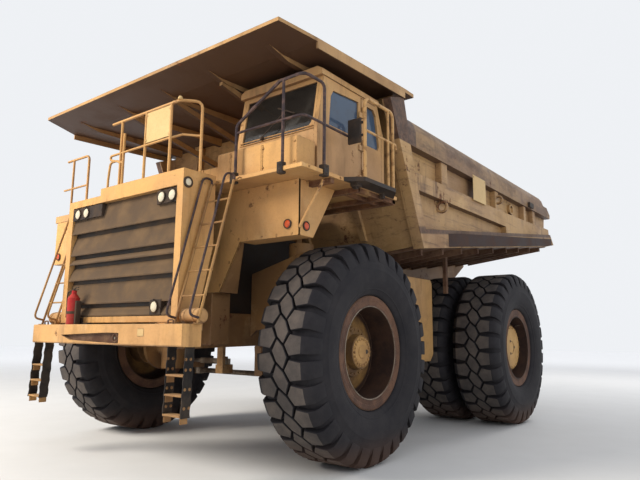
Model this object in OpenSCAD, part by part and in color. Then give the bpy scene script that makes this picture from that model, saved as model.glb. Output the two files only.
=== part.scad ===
// Rigid-frame mining dump truck, worn and weathered, in millimetres.
// Origin: on the ground, on the centreline, at the middle of the overall length.
// The front faces -Y, the driver's cab stands on the +X side.

/* [Wheels] */
// Outer radius of a tyre over its lugs
tyre_r = 1510; // [1460:5:1540]
// Width of a tyre at its widest place
tyre_w = 936; // [880:4:960]
// Radius where a tyre's bead sits on its rim
bead_r = 648; // [620:2:670]
// Outer radius of a rim's flange
flange_r = 775; // [740:5:800]
// Distance between the outer faces of a rim's two flanges
rim_w = 710; // [660:5:740]
// Depth of the grooves between the shoulder lugs
lug_depth = 62; // [30:2:80]
// Number of shoulder lugs round each side of a tyre
lug_count = 31; // [20:1:36]
// Width of the groove between two shoulder lugs
groove_w = 70; // [40:2:100]
// Distance from the truck's centre plane to a front wheel's middle
front_wheel_x = 2425; // [2400:5:2480]
// Distance from the centre plane to an outer rear wheel's middle
rear_outer_x = 2668; // [2640:4:2700]
// Distance between the middles of two twin wheels
dual_pitch = 1051; // [1030:5:1080]
// Place of the front axle along the truck
front_axle_y = -3060; // [-3100:10:-3020]
// Distance between the front and the rear axle
wheelbase = 5180; // [5140:10:5220]

/* [Frame] */
// Distance from the centre plane to a frame rail's outer face
rail_out = 700; // [660:10:740]
// Width of a frame rail
rail_w = 230; // [180:10:260]
// Height of the frame's top where the engine sits
engine_deck_z = 2050; // [2020:10:2080]
// Height of the frame's top under the front end of the bed
frame_top_z = 2330; // [2300:10:2360]
// Depth of a rail above the rear axle
rail_depth = 560; // [480:10:600]
// Thickness of the deck plates
deck_t = 60; // [30:5:90]
// Height of the deck's top
deck_z = 3800; // [3790:5:3830]

/* [Front] */
// Half of the bumper's width
bumper_x = 1826; // [1780:2:1860]
// Height of the bumper's top
bumper_top = 1858; // [1830:2:1900]
// Height of the bumper's underside
bumper_low = 1590; // [1560:5:1640]
// Place of the bumper's front face
bumper_y = -5518; // [-5560:2:-5500]
// Depth of the bumper, front to back
bumper_d = 240; // [200:10:260]
// Half of the radiator guard's width
guard_x = 1385; // [1360:5:1400]
// Place of the radiator guard's front face
guard_y = -5300; // [-5320:5:-5290]
// Height of the guard's top over the raised part
guard_top = 3855; // [3840:5:3880]
// Width of the guard's frame members
guard_bar = 125; // [90:5:150]
// Number of ladder rungs from the bumper to the deck
ladder_rungs = 8; // [6:1:10]

/* [Steering] */
// Distance from the centre plane to a kingpin
kingpin_x = 1500; // [1480:5:1520]
// Radius of a front strut's housing
strut_r = 190; // [170:5:210]
// Length of the arm from a kingpin to the tie rod's pin
tie_arm = 620; // [580:10:660]
// Length of the arm from a kingpin to the steering cylinder's pin
cyl_arm = 330; // [300:5:360]
// Distance from the centre plane to a steering cylinder's frame pin
steer_pin_x = 470; // [460:5:500]
// Gap between surfaces that move on each other
run_gap = 0.3; // [0.2:0.05:0.5]

/* [Cab] */
// Distance from the centre plane to the cab's inner side
cab_in_x = 1200; // [1180:5:1220]
// Distance from the centre plane to the cab's outer side
cab_out_x = 2700; // [2680:5:2720]
// Place of the cab's front face at its floor
cab_front_y = -4210; // [-4230:5:-4190]
// Place of the cab's back face
cab_rear_y = -2550; // [-2560:5:-2545]
// Height of the cab roof's top
cab_top = 5335; // [5310:5:5350]
// Thickness of a cab wall
wall_t = 60; // [40:2:70]
// Thickness of a pane of glass
glass_t = 12; // [6:1:16]
// Front edge of the cab door
door_y0 = -3175; // [-3185:5:-3165]
// Back edge of the cab door
door_y1 = -2640; // [-2650:5:-2635]

/* [Bed] */
// Distance from the centre plane to the bed's outer face
bed_x = 2900; // [2880:5:2930]
// Thickness of the bed's side, front and floor plates
bed_t = 40; // [25:5:50]
// Slope of the bed's floor towards the front
bed_slope = 7.3; // [7:0.1:7.6]
// Height of the bed's lower outer corner at its front
bed_low_z = 3116; // [3100:4:3140]
// Place of the bed's lower outer corner at its front
bed_low_y = -1680; // [-1700:5:-1660]
// Height of the bed's top rail
bed_top_z = 5205; // [5180:5:5230]
// Place of the bed's hinge along the truck
hinge_y = 3560; // [3540:5:3600]
// Height of the bed's hinge
hinge_z = 2780; // [2760:5:2800]
// Distance from the centre plane to the deck's outer edge
deck_x = 2890; // [2880:5:2900]
// Distance from the centre plane to the outer edge of the step by the door
step_x = 3130; // [3120:2:3136]
// Half of the canopy's width
canopy_x = 2930; // [2900:5:2960]
// Place of the canopy's front edge
canopy_y = -5097; // [-5140:5:-5060]
// Height of the canopy where it meets the bed's front wall
canopy_z = 5600; // [5580:5:5640]
// Radius of a hoist cylinder's barrel
hoist_r = 150; // [140:5:160]

/* [Hidden] */
$fn = 48;

paint = [0.80, 0.62, 0.34];
rust = [0.36, 0.22, 0.17];
rubber = [0.10, 0.10, 0.10];
black = [0.08, 0.08, 0.09];
steel = [0.45, 0.42, 0.38];

rear_axle_y = front_axle_y + wheelbase;
rear_inner_x = rear_outer_x - dual_pitch;
rail_in = rail_out - rail_w;
rail_mid = rail_out - rail_w / 2;
slope_k = tan(bed_slope);
deck_low = deck_z - deck_t;
deck_rear_y = -2500;
box_y = -4614;
bumper_back = bumper_y + bumper_d;
guard_low = bumper_top + 26;
guard_depth = 120;
guard_low_top = guard_top - 105;
cover_t = 30;
strut_low = 1740;
knuckle_low = 1120;
gearbox_member_y = -1500;
arm_t = 90;
arm_top = knuckle_low + arm_t;
eye_t = 100;
hoist_x = (rail_out + rear_inner_x - tyre_w / 2) / 2;
hoist_low = [400, 1350];
hoist_top = [-250, 2900];
hoist_run = norm(hoist_top - hoist_low);
hoist_lean = atan2(hoist_top[0] - hoist_low[0], hoist_top[1] - hoist_low[1]);
door_z0 = deck_z + 90;
door_z1 = 5175;
sill_z = 4490;
thrust_x = 130;
thrust_y = 480;
thrust_z = 1480;
door_gap = 12;
hinge_r = 16;
hinge_x = cab_out_x + 6 + hinge_r + 1;
hinge_zs = [4000, 4450, 4950];

// A block from its lowest to its highest corner
module block(a, b) {
    translate(a)
        cube(b - a);
}

// An outline of [y, z] points, drawn across the truck from x0 to x1
module side_form(points, x0, x1) {
    translate([x0, 0, 0])
        rotate([90, 0, 90])
            linear_extrude(x1 - x0)
                polygon(points);
}

// An outline of [x, z] points, drawn along the truck from y0 to y1
module front_form(points, y0, y1) {
    translate([0, y1, 0])
        rotate([90, 0, 0])
            linear_extrude(y1 - y0)
                polygon(points);
}

// An outline of [x, y] points, drawn upwards from z0 to z1
module plan_form(points, z0, z1) {
    translate([0, 0, z0])
        linear_extrude(z1 - z0)
            polygon(points);
}

// The children, and their mirror image across the centre plane
module both_sides() {
    children();
    mirror([1, 0, 0])
        children();
}

// The children on the +X side when s is 1, mirrored when s is -1
module on_side(s) {
    mirror([s < 0 ? 1 : 0, 0, 0])
        children();
}

// A round bar between two points
module rod(a, b, r) {
    d = b - a;
    translate(a)
        rotate([0, atan2(norm([d[0], d[1]]), d[2]), atan2(d[1], d[0])])
            cylinder(h = norm(d), r = r);
}

// A round piece whose axis runs along X, from x0 to x1
module cross_pin(x0, x1, y, z, r) {
    translate([x0, y, z])
        rotate([0, 90, 0])
            cylinder(h = x1 - x0, r = r);
}

// Points round a bend at corner b of the line a-b-c, with radius r
function bend(a, b, c, r, n) =
    let (u = (a - b) / norm(a - b),
         v = (c - b) / norm(c - b),
         half = acos(max(-1, min(1, u * v))) / 2,
         reach = r / tan(half),
         mid = (u + v) / norm(u + v),
         centre = b + mid * r / sin(half),
         p = b + u * reach - centre,
         q = b + v * reach - centre,
         turn = 180 - 2 * half)
    [for (i = [0:n]) centre + (p * sin(turn * (1 - i / n)) + q * sin(turn * i / n)) / sin(turn)];

// A line through points, with each inner corner rounded to radius r
function rounded(pts, r, n = 3) = [
    for (i = [0:len(pts) - 1])
        each (i == 0 || i == len(pts) - 1) ? [pts[i]] : bend(pts[i - 1], pts[i], pts[i + 1], r, n)
];

function unit(v) = v / norm(v);

// Direction of a line at its point i
function along(pts, i) = unit(pts[min(i + 1, len(pts) - 1)] - pts[max(i - 1, 0)]);

// A round tube swept along a line of points, side is a direction that the line never takes
module tube(pts, r, side = [1, 0, 0], sides = 8) {
    rings = [
        for (i = [0:len(pts) - 1])
            let (t = along(pts, i),
                 e = unit(cross(t, side)),
                 f = cross(t, e))
            for (k = [0:sides - 1])
                pts[i] + r * (cos(360 * k / sides) * e + sin(360 * k / sides) * f)
    ];
    last = (len(pts) - 1) * sides;
    polyhedron(rings, concat(
        [[for (k = [0:sides - 1]) k]],
        [for (i = [0:len(pts) - 2], k = [0:sides - 1])
            let (j = i * sides, m = (k + 1) % sides)
            [j + m, j + k, j + sides + k, j + sides + m]],
        [[for (k = [sides - 1:-1:0]) last + k]]
    ), convexity = 6);
}

// Frame

// Height of the sloping frame top at a place along the truck
function frame_z(y) = frame_top_z + slope_k * (y - bed_low_y);

module frame_rail() {
    rear_y = hinge_y + 140;
    top = [
        [bumper_back, bumper_low + 20], [bumper_back, bumper_top - 20],
        [bumper_back + 480, engine_deck_z], [bed_low_y - 560, engine_deck_z],
        [bed_low_y, frame_top_z], [hinge_y - 320, frame_z(hinge_y - 320)],
        [hinge_y - 150, hinge_z + 150], [rear_y, hinge_z + 60], [rear_y, hinge_z - 90],
        [hinge_y - 160, frame_z(hinge_y) - rail_depth - 60],
        [rear_axle_y - 850, frame_z(rear_axle_y - 850) - rail_depth],
        [rear_axle_y - 1700, frame_top_z - 640], [bed_low_y, frame_top_z - 740],
        [bumper_back + 700, engine_deck_z - 520]
    ];
    difference() {
        side_form(top, rail_in, rail_out);
        cross_pin(rail_in - 1, rail_out + 1, hinge_y, hinge_z, 85);
    }
}

module frame() color(paint) {
    both_sides()
        frame_rail();
    // Crossmembers, as [y, half length, z low, z high, width along the truck]
    members = [
        [bumper_back + 60, 0, 1620, 1830, 120],
        [front_axle_y + 560, 0, 1560, 1860, 240],
        [gearbox_member_y, 0, 1590, 1820, 260],
        [250, 0, 1800, 2380, 300],
        [rear_axle_y + 700, 0, 2420, 2800, 220]
    ];
    for (m = members)
        block([-rail_in, m[0] - m[4] / 2, m[2]], [rail_in, m[0] + m[4] / 2, m[3]]);
    // Towers that carry the front struts, joined over the engine's front end
    both_sides() {
        front_form([
            [rail_out, 1700], [rail_out, 2680], [kingpin_x + strut_r + 60, 2960],
            [kingpin_x + strut_r + 60, 2500], [kingpin_x - strut_r - 20, 2420],
            [rail_out + 260, 1900]
        ], front_axle_y - 260, front_axle_y - strut_r - 30);
        front_form([
            [rail_out, 1700], [rail_out, 2680], [kingpin_x + strut_r + 60, 2960],
            [kingpin_x + strut_r + 60, 2500], [kingpin_x - strut_r - 20, 2420],
            [rail_out + 260, 1900]
        ], front_axle_y + strut_r + 30, front_axle_y + 260);
        block([rail_out, front_axle_y - 260, 1800], [kingpin_x - strut_r - 30, front_axle_y + 260, 2500]);
    }
    // Uprights that carry the guard's cover and the deck, as [place along the truck, top]
    both_sides()
        for (u = [[-4820, guard_low_top - cover_t - 0.5], [-2150, deck_low]])
            block([rail_out - 160, u[0] - 70, engine_deck_z - 100], [rail_out, u[0] + 70, u[1]]);
    // Arms that carry the hoist cylinders' lower pins
    both_sides() {
        side_form([
            [hoist_low[0] - 150, hoist_low[1] - 130], [hoist_low[0] + 150, hoist_low[1] - 130],
            [hoist_low[0] + 330, 1850], [hoist_low[0] - 330, 1850]
        ], rail_mid, hoist_x - hoist_r - 8);
        cross_pin(rail_mid, hoist_x + 60, hoist_low[0], hoist_low[1], 60);
    }
    // Brackets for the steering cylinders' inner pins
    both_sides() {
        block([steer_pin_x - 90, front_axle_y + cyl_arm - 150, knuckle_low - 60],
              [steer_pin_x + 90, front_axle_y + cyl_arm + 90, arm_top]);
        block([steer_pin_x - 90, front_axle_y + cyl_arm - 150, arm_top - 20],
              [rail_in + 60, front_axle_y + cyl_arm - 92, 1600]);
        translate([steer_pin_x, front_axle_y + cyl_arm, arm_top - 5])
            cylinder(h = eye_t + 40, r = 40);
    }
    // Brackets for the rear axle's thrust arms
    both_sides()
        block([thrust_x, thrust_y - 150, thrust_z - 60], [thrust_x + 90, thrust_y - 0.5, 1810]);
}

// Bumper with its ladder brackets
module bumper() color(paint)
    difference() {
        plan_form([
            [-bumper_x, bumper_back], [-bumper_x, bumper_y + 60], [60 - bumper_x, bumper_y],
            [bumper_x - 60, bumper_y], [bumper_x, bumper_y + 60], [bumper_x, bumper_back]
        ], bumper_low, bumper_top);
        block([-560, bumper_y - 1, bumper_low + 70], [460, bumper_y + 60, bumper_low + 190]);
    }

// Guard round the radiator, stepped down on the right
module radiator_guard() color(paint) {
    y1 = guard_y + guard_depth;
    step_x = -530;
    difference() {
        union() {
            front_form([
                [-guard_x, guard_low], [guard_x, guard_low], [guard_x, guard_top],
                [step_x, guard_top], [step_x, guard_low_top], [-guard_x, guard_low_top]
            ], guard_y, y1);
            // Side panels back to the deck
            for (s = [-1, 1])
                side_form([
                    [y1, guard_low], [y1, s > 0 ? guard_top : guard_low_top],
                    [-4760, s > 0 ? guard_top : guard_low_top], [-4760, 2900], [-5000, guard_low]
                ], s > 0 ? guard_x - 30 : -guard_x, s > 0 ? guard_x : 30 - guard_x);
            // Top cover
            block([step_x, y1, guard_top - cover_t], [guard_x - 30, -4760, guard_top]);
            block([30 - guard_x, y1, guard_low_top - cover_t], [step_x, -4760, guard_low_top]);
        }
        block([guard_bar - guard_x, guard_y - 1, 1965], [guard_x - guard_bar, y1 + 1, 3640]);
    }
    // Feet on the bumper
    for (x = [-1100, 1100])
        block([x - 120, guard_y + 10, bumper_top], [x + 120, bumper_back, guard_low]);
}

// Slatted shutters in the guard's opening and the panel below them
module radiator_shutters() color(black) {
    half = guard_x - guard_bar - 0.3;
    y0 = guard_y + 30;
    // Slats as [lower edge, upper edge]
    slats = [[3235, 3620], [2900, 3215], [2762, 2880], [2515, 2740], [2160, 2495], [1975, 2140]];
    for (s = slats)
        side_form([
            [y0, s[0]], [y0 - 18, s[0] + 12], [y0 + 14, s[1]], [y0 + 34, s[1]], [y0 + 34, s[0]]
        ], -half, half);
    for (x = [-half, -430, 430, half - 40])
        block([x, y0 + 20, 1975], [x + 40, y0 + 60, 3620]);
    // Plates that carry the headlamps
    for (p = [[-half + 15, 3432, -770, 3630], [850, 3424, half - 0.2, 3622], [-1240, 1970, -1040, 2180], [820, 1970, 1020, 2180]])
        block([p[0], guard_y, p[1]], [p[2], y0 + 25, p[3]]);
}

module radiator() color(black)
    block([-1230, guard_y + guard_depth + 20, 2020], [1230, -4890.3, 3620]);

module engine() color(steel)
    block([10 - rail_out, -4690, engine_deck_z], [rail_out - 10, bed_low_y - 565, 3350]);

// Gearbox and the shafts to and from it
module driveline() color(steel) {
    block([-320, -1250, 1500], [320, 60, 2100]);
    // Bracket that seats the gearbox against the crossmember ahead of it
    block([-200, gearbox_member_y + 130.3, 1620], [200, -1249, 1790]);
    rod([0, -2200, 2110], [0, -1240, 1900], 90);
    rod([0, 40, 1705], [0, rear_axle_y - 650, 1560], 80);
}

// Rear axle housing with its ball, tubes and final drives
module rear_axle() color(paint) {
    translate([0, rear_axle_y, tyre_r])
        rotate([0, 90, 0])
            rotate_extrude($fn = 64)
                polygon([
                    [0, -1040], [300, -1040], [300, -700], [420, -560], [620, -330],
                    [640, 0], [620, 330], [420, 560], [300, 700], [300, 1040], [0, 1040]
                ]);
    both_sides()
        cross_pin(1000, rear_outer_x + 60, rear_axle_y, tyre_r, 280);
    both_sides() {
        // Thrust arms that run forward to the frame
        side_form([
            [rear_axle_y - 300, tyre_r - 200], [rear_axle_y - 300, tyre_r + 200],
            [thrust_y, thrust_z + 80], [thrust_y, thrust_z - 60]
        ], thrust_x, thrust_x + 90);
        // Brackets under the rear struts
        block([rail_in - 200, rear_axle_y + 440, 1600], [rail_in - 40, rear_axle_y + 800, 1700]);
    }
    block([-thrust_x, thrust_y, thrust_z - 60], [thrust_x, thrust_y + 80, thrust_z + 50]);
}

// Front strut housings, each clamped between its tower's plates
module front_struts() color(paint)
    both_sides()
        translate([kingpin_x, front_axle_y, 0]) {
            translate([0, 0, strut_low])
                cylinder(h = 3120 - strut_low, r = strut_r);
            for (z = [1960, 2640])
                translate([-strut_r - 29, -strut_r - 29.7, z])
                    cube([2 * strut_r, 2 * strut_r + 59.4, 180]);
        }

// Rear suspension struts between the axle's brackets and the frame's last crossmember
module rear_struts() color(steel)
    both_sides()
        translate([rail_in - 120, rear_axle_y + 700, 0]) {
            translate([0, 0, 1700.3])
                cylinder(h = 300, r = 70);
            translate([0, 0, 1980])
                cylinder(h = 439.7, r = 105);
        }

// Deck plates over the engine and on the right, where the rear one can be lifted off
module deck_plates() color(paint) {
    seam_y = -4100;
    block([0.5 - rail_out, -4759, deck_low], [cab_in_x - 100, -2090, deck_z - 5]);
    block([-deck_x, -4740, deck_low], [-rail_out, seam_y, deck_z]);
    block([-deck_x, seam_y + 0.5, deck_low], [-rail_out, deck_rear_y, deck_z]);
    block([-deck_x, -4740, deck_low - 60], [60 - deck_x, deck_rear_y, deck_low]);
    block([60 - deck_x, -4740, deck_low - 60], [-guard_x - 10, -4680, deck_low]);
}

module cab_deck() color(paint) {
    block([cab_in_x - 99.5, -4740, deck_low], [deck_x, deck_rear_y, deck_z]);
    block([deck_x - 60, -4740, deck_low - 60], [deck_x, -3760, deck_low]);
    block([guard_x + 10, -4740, deck_low - 60], [deck_x - 60, -4680, deck_low]);
    // Box ahead of the windscreen
    block([cab_in_x + 40, box_y, deck_z], [cab_out_x, cab_front_y - 40, 4180]);
}

// Boxes under the deck's front corners, cut back on a slant behind
module fender_boxes() color(paint)
    both_sides() {
        intersection() {
            side_form([
                [-4740, 2880], [-4740, 3679.7], [-4060, 3679.7], [-4460, 2880]
            ], 1500, 2830);
            front_form([
                [1860, 2880], [2830, 2880], [2830, 3680], [1500, 3680], [1500, 3300]
            ], -4800, -4000);
        }
        // Slanted plate down to the frame
        front_form([
            [rail_out, 2300], [rail_out, 2500], [1500, 3290], [1858, 2900], [1858, 2880], [1700, 2700]
        ], -4735, -4700);
    }

// Dark step outside the cab door
module step_platform() color(black) {
    plan_form([
        [deck_x + 0.5, -3880], [step_x, -3720], [step_x, -2940], [deck_x + 0.5, -2600]
    ], deck_z - 55, deck_z);
    for (y = [-3680, -3000])
        side_form([
            [y, deck_low - 60], [y, deck_z - 55], [y + 60, deck_z - 55], [y + 60, deck_low - 60]
        ], deck_x + 0.5, deck_x + 60);
}

// Tanks on both sides between the wheels, fuel on the left and hydraulic oil on the right
module side_tanks() color(paint) {
    tank_in = hoist_x + hoist_r + 36;
    side_form([
        [-560, 1330], [-480, 1250], [420, 1250], [540, 1380], [540, 2760], [480, 2824], [-500, 2824], [-560, 2764]
    ], tank_in, 1900);
    side_form([
        [-560, 1430], [-500, 1350], [420, 1350], [500, 1450], [500, 2380], [420, 2460], [-480, 2460], [-560, 2380]
    ], -1840, -tank_in);
    both_sides()
        for (y = [-540, -360])
            block([rail_out + 0.5, y, 1900], [tank_in, y + 80, 2050]);
}

// Air cleaner housings that hang under the right deck, each from two brackets
module air_cleaners() color(paint)
    for (x = [-1130, -1750]) {
        z = deck_low - 310;
        rod([x, -3950, z], [x, -3150, z], 250);
        rod([x, -4010, z], [x, -3949, z], 190);
        for (y = [-3850, -3330])
            block([x - 60, y, z + 200], [x + 60, y + 80, deck_low]);
    }

// Cab

cab_base = deck_z + 0.5;
roof_low = cab_top - 130;
lean = 130;
rear_cut = 190;
pane_z0 = 4544;
pane_z1 = 5078;

// Outline of the cab's side wall, with its back edge cut forward at the top
cab_side_line = [
    [cab_front_y, cab_base + wall_t], [cab_front_y, sill_z - 60], [cab_front_y + lean, roof_low],
    [cab_rear_y - rear_cut, roof_low], [cab_rear_y, 4700], [cab_rear_y, cab_base + wall_t]
];

// Outline of the front side pane, and of the rear one on the cab's inner side
front_pane = [[-3958, pane_z0], [-3920, 4960], [-3860, pane_z1 - 20], [-3250, pane_z1 + 20], [-3250, pane_z0]];
rear_pane = [[-3100, pane_z0], [-3100, pane_z1 + 20], [-2860, pane_z1 + 20], [-2700, 4700], [-2700, pane_z0]];

// An outline drawn in towards its middle by a gap
module fitted_pane(points, x0, x1)
    translate([x0, 0, 0])
        rotate([90, 0, 90])
            linear_extrude(x1 - x0)
                offset(delta = -0.5)
                    polygon(points);

module cab_floor() color(black)
    block([cab_in_x, cab_front_y, cab_base], [cab_out_x, cab_rear_y, cab_base + wall_t - 0.5]);

module cab_sides() color(paint) {
    difference() {
        side_form(cab_side_line, cab_out_x - wall_t, cab_out_x);
        side_form(front_pane, 0, 4000);
        rotate([90, 0, 90])
            linear_extrude(4000)
                offset(delta = door_gap)
                    polygon(door_line);
    }
    // Hinge knuckles that stand under the door's own
    for (z = hinge_zs) {
        translate([hinge_x, door_y0 + 14, z - 80])
            cylinder(h = 80 - run_gap, r = hinge_r);
        block([cab_out_x + 7, door_y0 - 30, z - 80], [hinge_x, door_y0 + 14, z - run_gap]);
        block([cab_out_x - 1, door_y0 - 80, z - 80], [hinge_x, door_y0 - door_gap - 0.5, z - run_gap]);
    }
    difference() {
        side_form(cab_side_line, cab_in_x, cab_in_x + wall_t);
        side_form(front_pane, 0, 4000);
        side_form(rear_pane, 0, 4000);
    }
}

module cab_ends() color(paint) {
    x0 = cab_in_x + wall_t + 0.5;
    x1 = cab_out_x - wall_t - 0.5;
    // Front wall, leaning back above the sill
    difference() {
        side_form([
            [cab_front_y, cab_base + wall_t], [cab_front_y, sill_z - 60], [cab_front_y + lean, roof_low],
            [cab_front_y + lean + wall_t, roof_low], [cab_front_y + wall_t, sill_z - 60],
            [cab_front_y + wall_t, cab_base + wall_t]
        ], x0, x1);
        front_form(windscreen(x0 + 40, x1 - 40), cab_front_y - 10, cab_front_y + 400);
    }
    // Back wall, following the side walls' cut
    difference() {
        side_form([
            [cab_rear_y, cab_base + wall_t], [cab_rear_y, 4700], [cab_rear_y - rear_cut, roof_low],
            [cab_rear_y - rear_cut - wall_t, roof_low], [cab_rear_y - wall_t, 4700],
            [cab_rear_y - wall_t, cab_base + wall_t]
        ], x0, x1);
        block([x0 + 150, cab_rear_y - 400, 4200], [x1 - 150, cab_rear_y + 1, 4620]);
    }
}

// Outline of the windscreen, its lower outer corner rounded off
function windscreen(x0, x1) = [
    [x0, 4445], [x1 - 190, 4445], [x1 - 90, 4465], [x1 - 25, 4530], [x1, 4620],
    [x1, 5135], [x0, 5135]
];

module cab_roof() color(paint)
    front_form([
        [cab_in_x - 20, roof_low + 0.5], [cab_out_x + 20, roof_low + 0.5], [cab_out_x + 20, cab_top - 50],
        [cab_out_x - 60, cab_top], [cab_in_x + 60, cab_top], [cab_in_x - 20, cab_top - 50]
    ], cab_front_y + lean - 60, cab_rear_y - rear_cut + 20);

module cab_glass() color("skyblue") {
    x0 = cab_in_x + wall_t + 0.5;
    x1 = cab_out_x - wall_t - 0.5;
    screen_y = cab_front_y + 20;
    // Windscreen
    intersection() {
        side_form([
            [screen_y, sill_z - 60], [screen_y + lean, roof_low],
            [screen_y + lean + glass_t, roof_low], [screen_y + glass_t, sill_z - 60]
        ], x0, x1);
        translate([0, cab_front_y + 400, 0])
            rotate([90, 0, 0])
                linear_extrude(500)
                    offset(delta = -0.5)
                        polygon(windscreen(x0 + 40, x1 - 40));
    }
    // Side panes
    fitted_pane(front_pane, cab_out_x - 36, cab_out_x - 36 + glass_t);
    fitted_pane(front_pane, cab_in_x + 24, cab_in_x + 24 + glass_t);
    fitted_pane(rear_pane, cab_in_x + 24, cab_in_x + 24 + glass_t);
    block([x0 + 150.5, cab_rear_y - 36, 4200.5], [x1 - 150.5, cab_rear_y - 36 + glass_t, 4619.5]);
}

// Driver's and trainer's seats, dashboard, steering column and wheel
module cab_interior() color(black) {
    for (x = [cab_in_x + 980, cab_in_x + 480])
        translate([x, -3200, cab_base + wall_t]) {
            translate([-60, -60, 0])
                cube([120, 120, 300]);
            translate([-190, -260, 300])
                cube([380, 480, 110]);
            rotate([-8, 0, 0])
                translate([-180, 140, 400])
                    cube([360, 100, 560]);
        }
    side_form([
        [-4130, cab_base + wall_t], [-4130, 4320], [-4040, 4380], [-3880, 4300], [-3920, cab_base + wall_t]
    ], cab_in_x + wall_t + 40, cab_out_x - wall_t - 40);
    wheel = [cab_in_x + 980, -3740, 4410];
    rod([wheel[0], -3920, 4250], wheel, 30);
    translate(wheel)
        rotate([-50, 0, 0])
            difference() {
                cylinder(h = 30, r = 210);
                translate([0, 0, -1])
                    difference() {
                        cylinder(h = 32, r = 180);
                        translate([-200, -20, 0])
                            cube([400, 40, 32]);
                    }
            }
}

// Ladders

// Ladder from p (middle of its foot) to q (middle of its head), leaning back
module ladder(p, q, width, rungs, rail) {
    for (s = [-1, 1])
        let (x = p[0] + s * width / 2, d = rail[1] / 2)
            side_form([[p[1] - d, p[2]], [p[1] + d, p[2]], [q[1] + d, q[2]], [q[1] - d, q[2]]],
                      x - rail[0] / 2, x + rail[0] / 2);
    for (i = [1:rungs])
        let (m = p + (q - p) * i / (rungs + 1))
            block([m[0] - width / 2, m[1] - 40, m[2] - 12], [m[0] + width / 2, m[1] + 40, m[2] + 12]);
}

module ladders() color(paint)
    both_sides() {
        ladder([1610, bumper_back - 60, bumper_top], [1610, -4790, deck_z + 20], 430, ladder_rungs, [18, 90]);
        ladder([1680, bumper_y + 55, 800], [1680, bumper_y + 55, bumper_low], 450, 3, [20, 80]);
        block([1680 - 225, bumper_y + 15, 812], [1680 + 225, bumper_y + 95, 836]);
    }

// Handrails round the cab
module cab_rails() color(black) {
    y0 = -4700;
    x_out = deck_x - 22;
    tube(rounded([[1698, y0, deck_z], [1698, y0, 4525], [2467, y0, 4955], [x_out, y0, 4965],
                  [x_out, -4280, 4965], [x_out, -4280, deck_z]], 80), 22, [0.3, 1, 0.2]);
    tube([[2535, y0, deck_z], [2535, y0, 4955]], 20);
    tube(rounded([[1698, y0, 4415], [x_out, y0, 4420], [x_out, -3760, 4400]], 80), 18, [0.1, 0.2, 1]);
    // Rail on the step outside the door
    xs = step_x - 26;
    tube(rounded([[xs, -3690, deck_z], [xs, -3690, 4920], [xs, -2970, 4920], [xs, -2970, deck_z]], 90), 24);
    tube([[xs, -3100, deck_z], [xs, -3100, 4915]], 20);
    tube(rounded([[xs, -3690, 4460], [xs, -2900, 4460], [xs, -2880, 4390]], 15), 18);
}

// Handrails over the radiator and at the head of the right ladder
module deck_rails() color(paint) {
    y0 = guard_y + 25;
    rail_z = 4820;
    mid_z = 4333;
    corner = [guard_x - 35, guard_y + 290];
    // Posts on the guard, as [x, top], the first two standing side by side
    for (p = [[-110, rail_z], [-40, rail_z - 200], [474, rail_z], [1030, rail_z]])
        tube([[p[0], y0, guard_top], [p[0], y0, p[1]]], 20);
    // Top rail, bent back to a post at the ladder
    tube(rounded([
        [-353, y0, rail_z], [1206, y0, rail_z], [corner[0], corner[1], rail_z + 28],
        [corner[0], corner[1], guard_top]
    ], 80), 21, [0.3, -1, 0.2]);
    // Middle rail, its left end turned back and its right end arched
    tube(rounded([
        [-40, y0, mid_z - 153], [-365, y0, mid_z - 60], [-365, y0, mid_z], [1030, y0, mid_z],
        [1125, y0 + 130, mid_z + 62], [corner[0], corner[1], mid_z + 30]
    ], 25), 17, [0.3, -1, 0.2]);
    // Low hoop beside the first posts
    tube(rounded([
        [-400, y0, guard_top], [-400, y0, guard_top + 120], [-365, y0, mid_z - 100],
        [-190, y0, mid_z - 100], [-110, y0, mid_z - 150]
    ], 60), 17, [0.3, -1, 0.2]);
    // Hand loop beside the right ladder's opening
    y1 = -4712;
    x1 = -1960;
    tube([[x1 - 495, y1, deck_z], [x1 - 495, y1, rail_z - 25]], 20);
    tube(rounded([[x1 - 697, y1, rail_z - 25], [x1, y1, rail_z - 25], [x1, y1, deck_z]], 80), 21, [0.3, -1, 0.2]);
    tube([[x1 - 764, y1, mid_z - 65], [x1, y1, mid_z - 65]], 17, [0, 0, 1]);
}

// Lamps
module headlamps() color("white")
    for (p = [[-1105, 3530], [-876, 3530], [954, 3522], [1178, 3522], [-1141, 2080], [921, 2080]])
        translate([p[0], guard_y - 0.3, p[1]])
            rotate([90, 0, 0])
                cylinder(h = 60, r = 75);

module amber_lamps() color("orange")
    both_sides() {
        translate([2680, -4740.2, 3055])
            rotate([90, 0, 0])
                cylinder(h = 50, r = 60);
        cross_pin(2830.2, 2875, -4560, 3060, 60);
    }

module mirrors() color(black) {
    // Mirror on the step's front post, with the clamp that holds it
    block([step_x - 290, -3715, 4300], [step_x - 90, -3680, 4640]);
    for (z = [4380, 4560])
        block([step_x - 90, -3705, z], [step_x - 50.4, -3680, z + 30]);
}

module extinguisher() color("red")
    translate([-860, bumper_y + 110, bumper_top + 0.3]) {
        cylinder(h = 380, r = 85);
        translate([0, 0, 380])
            cylinder(h = 60, r1 = 85, r2 = 40);
        translate([0, 0, 440])
            cylinder(h = 50, r = 35);
    }

// Steering

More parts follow.
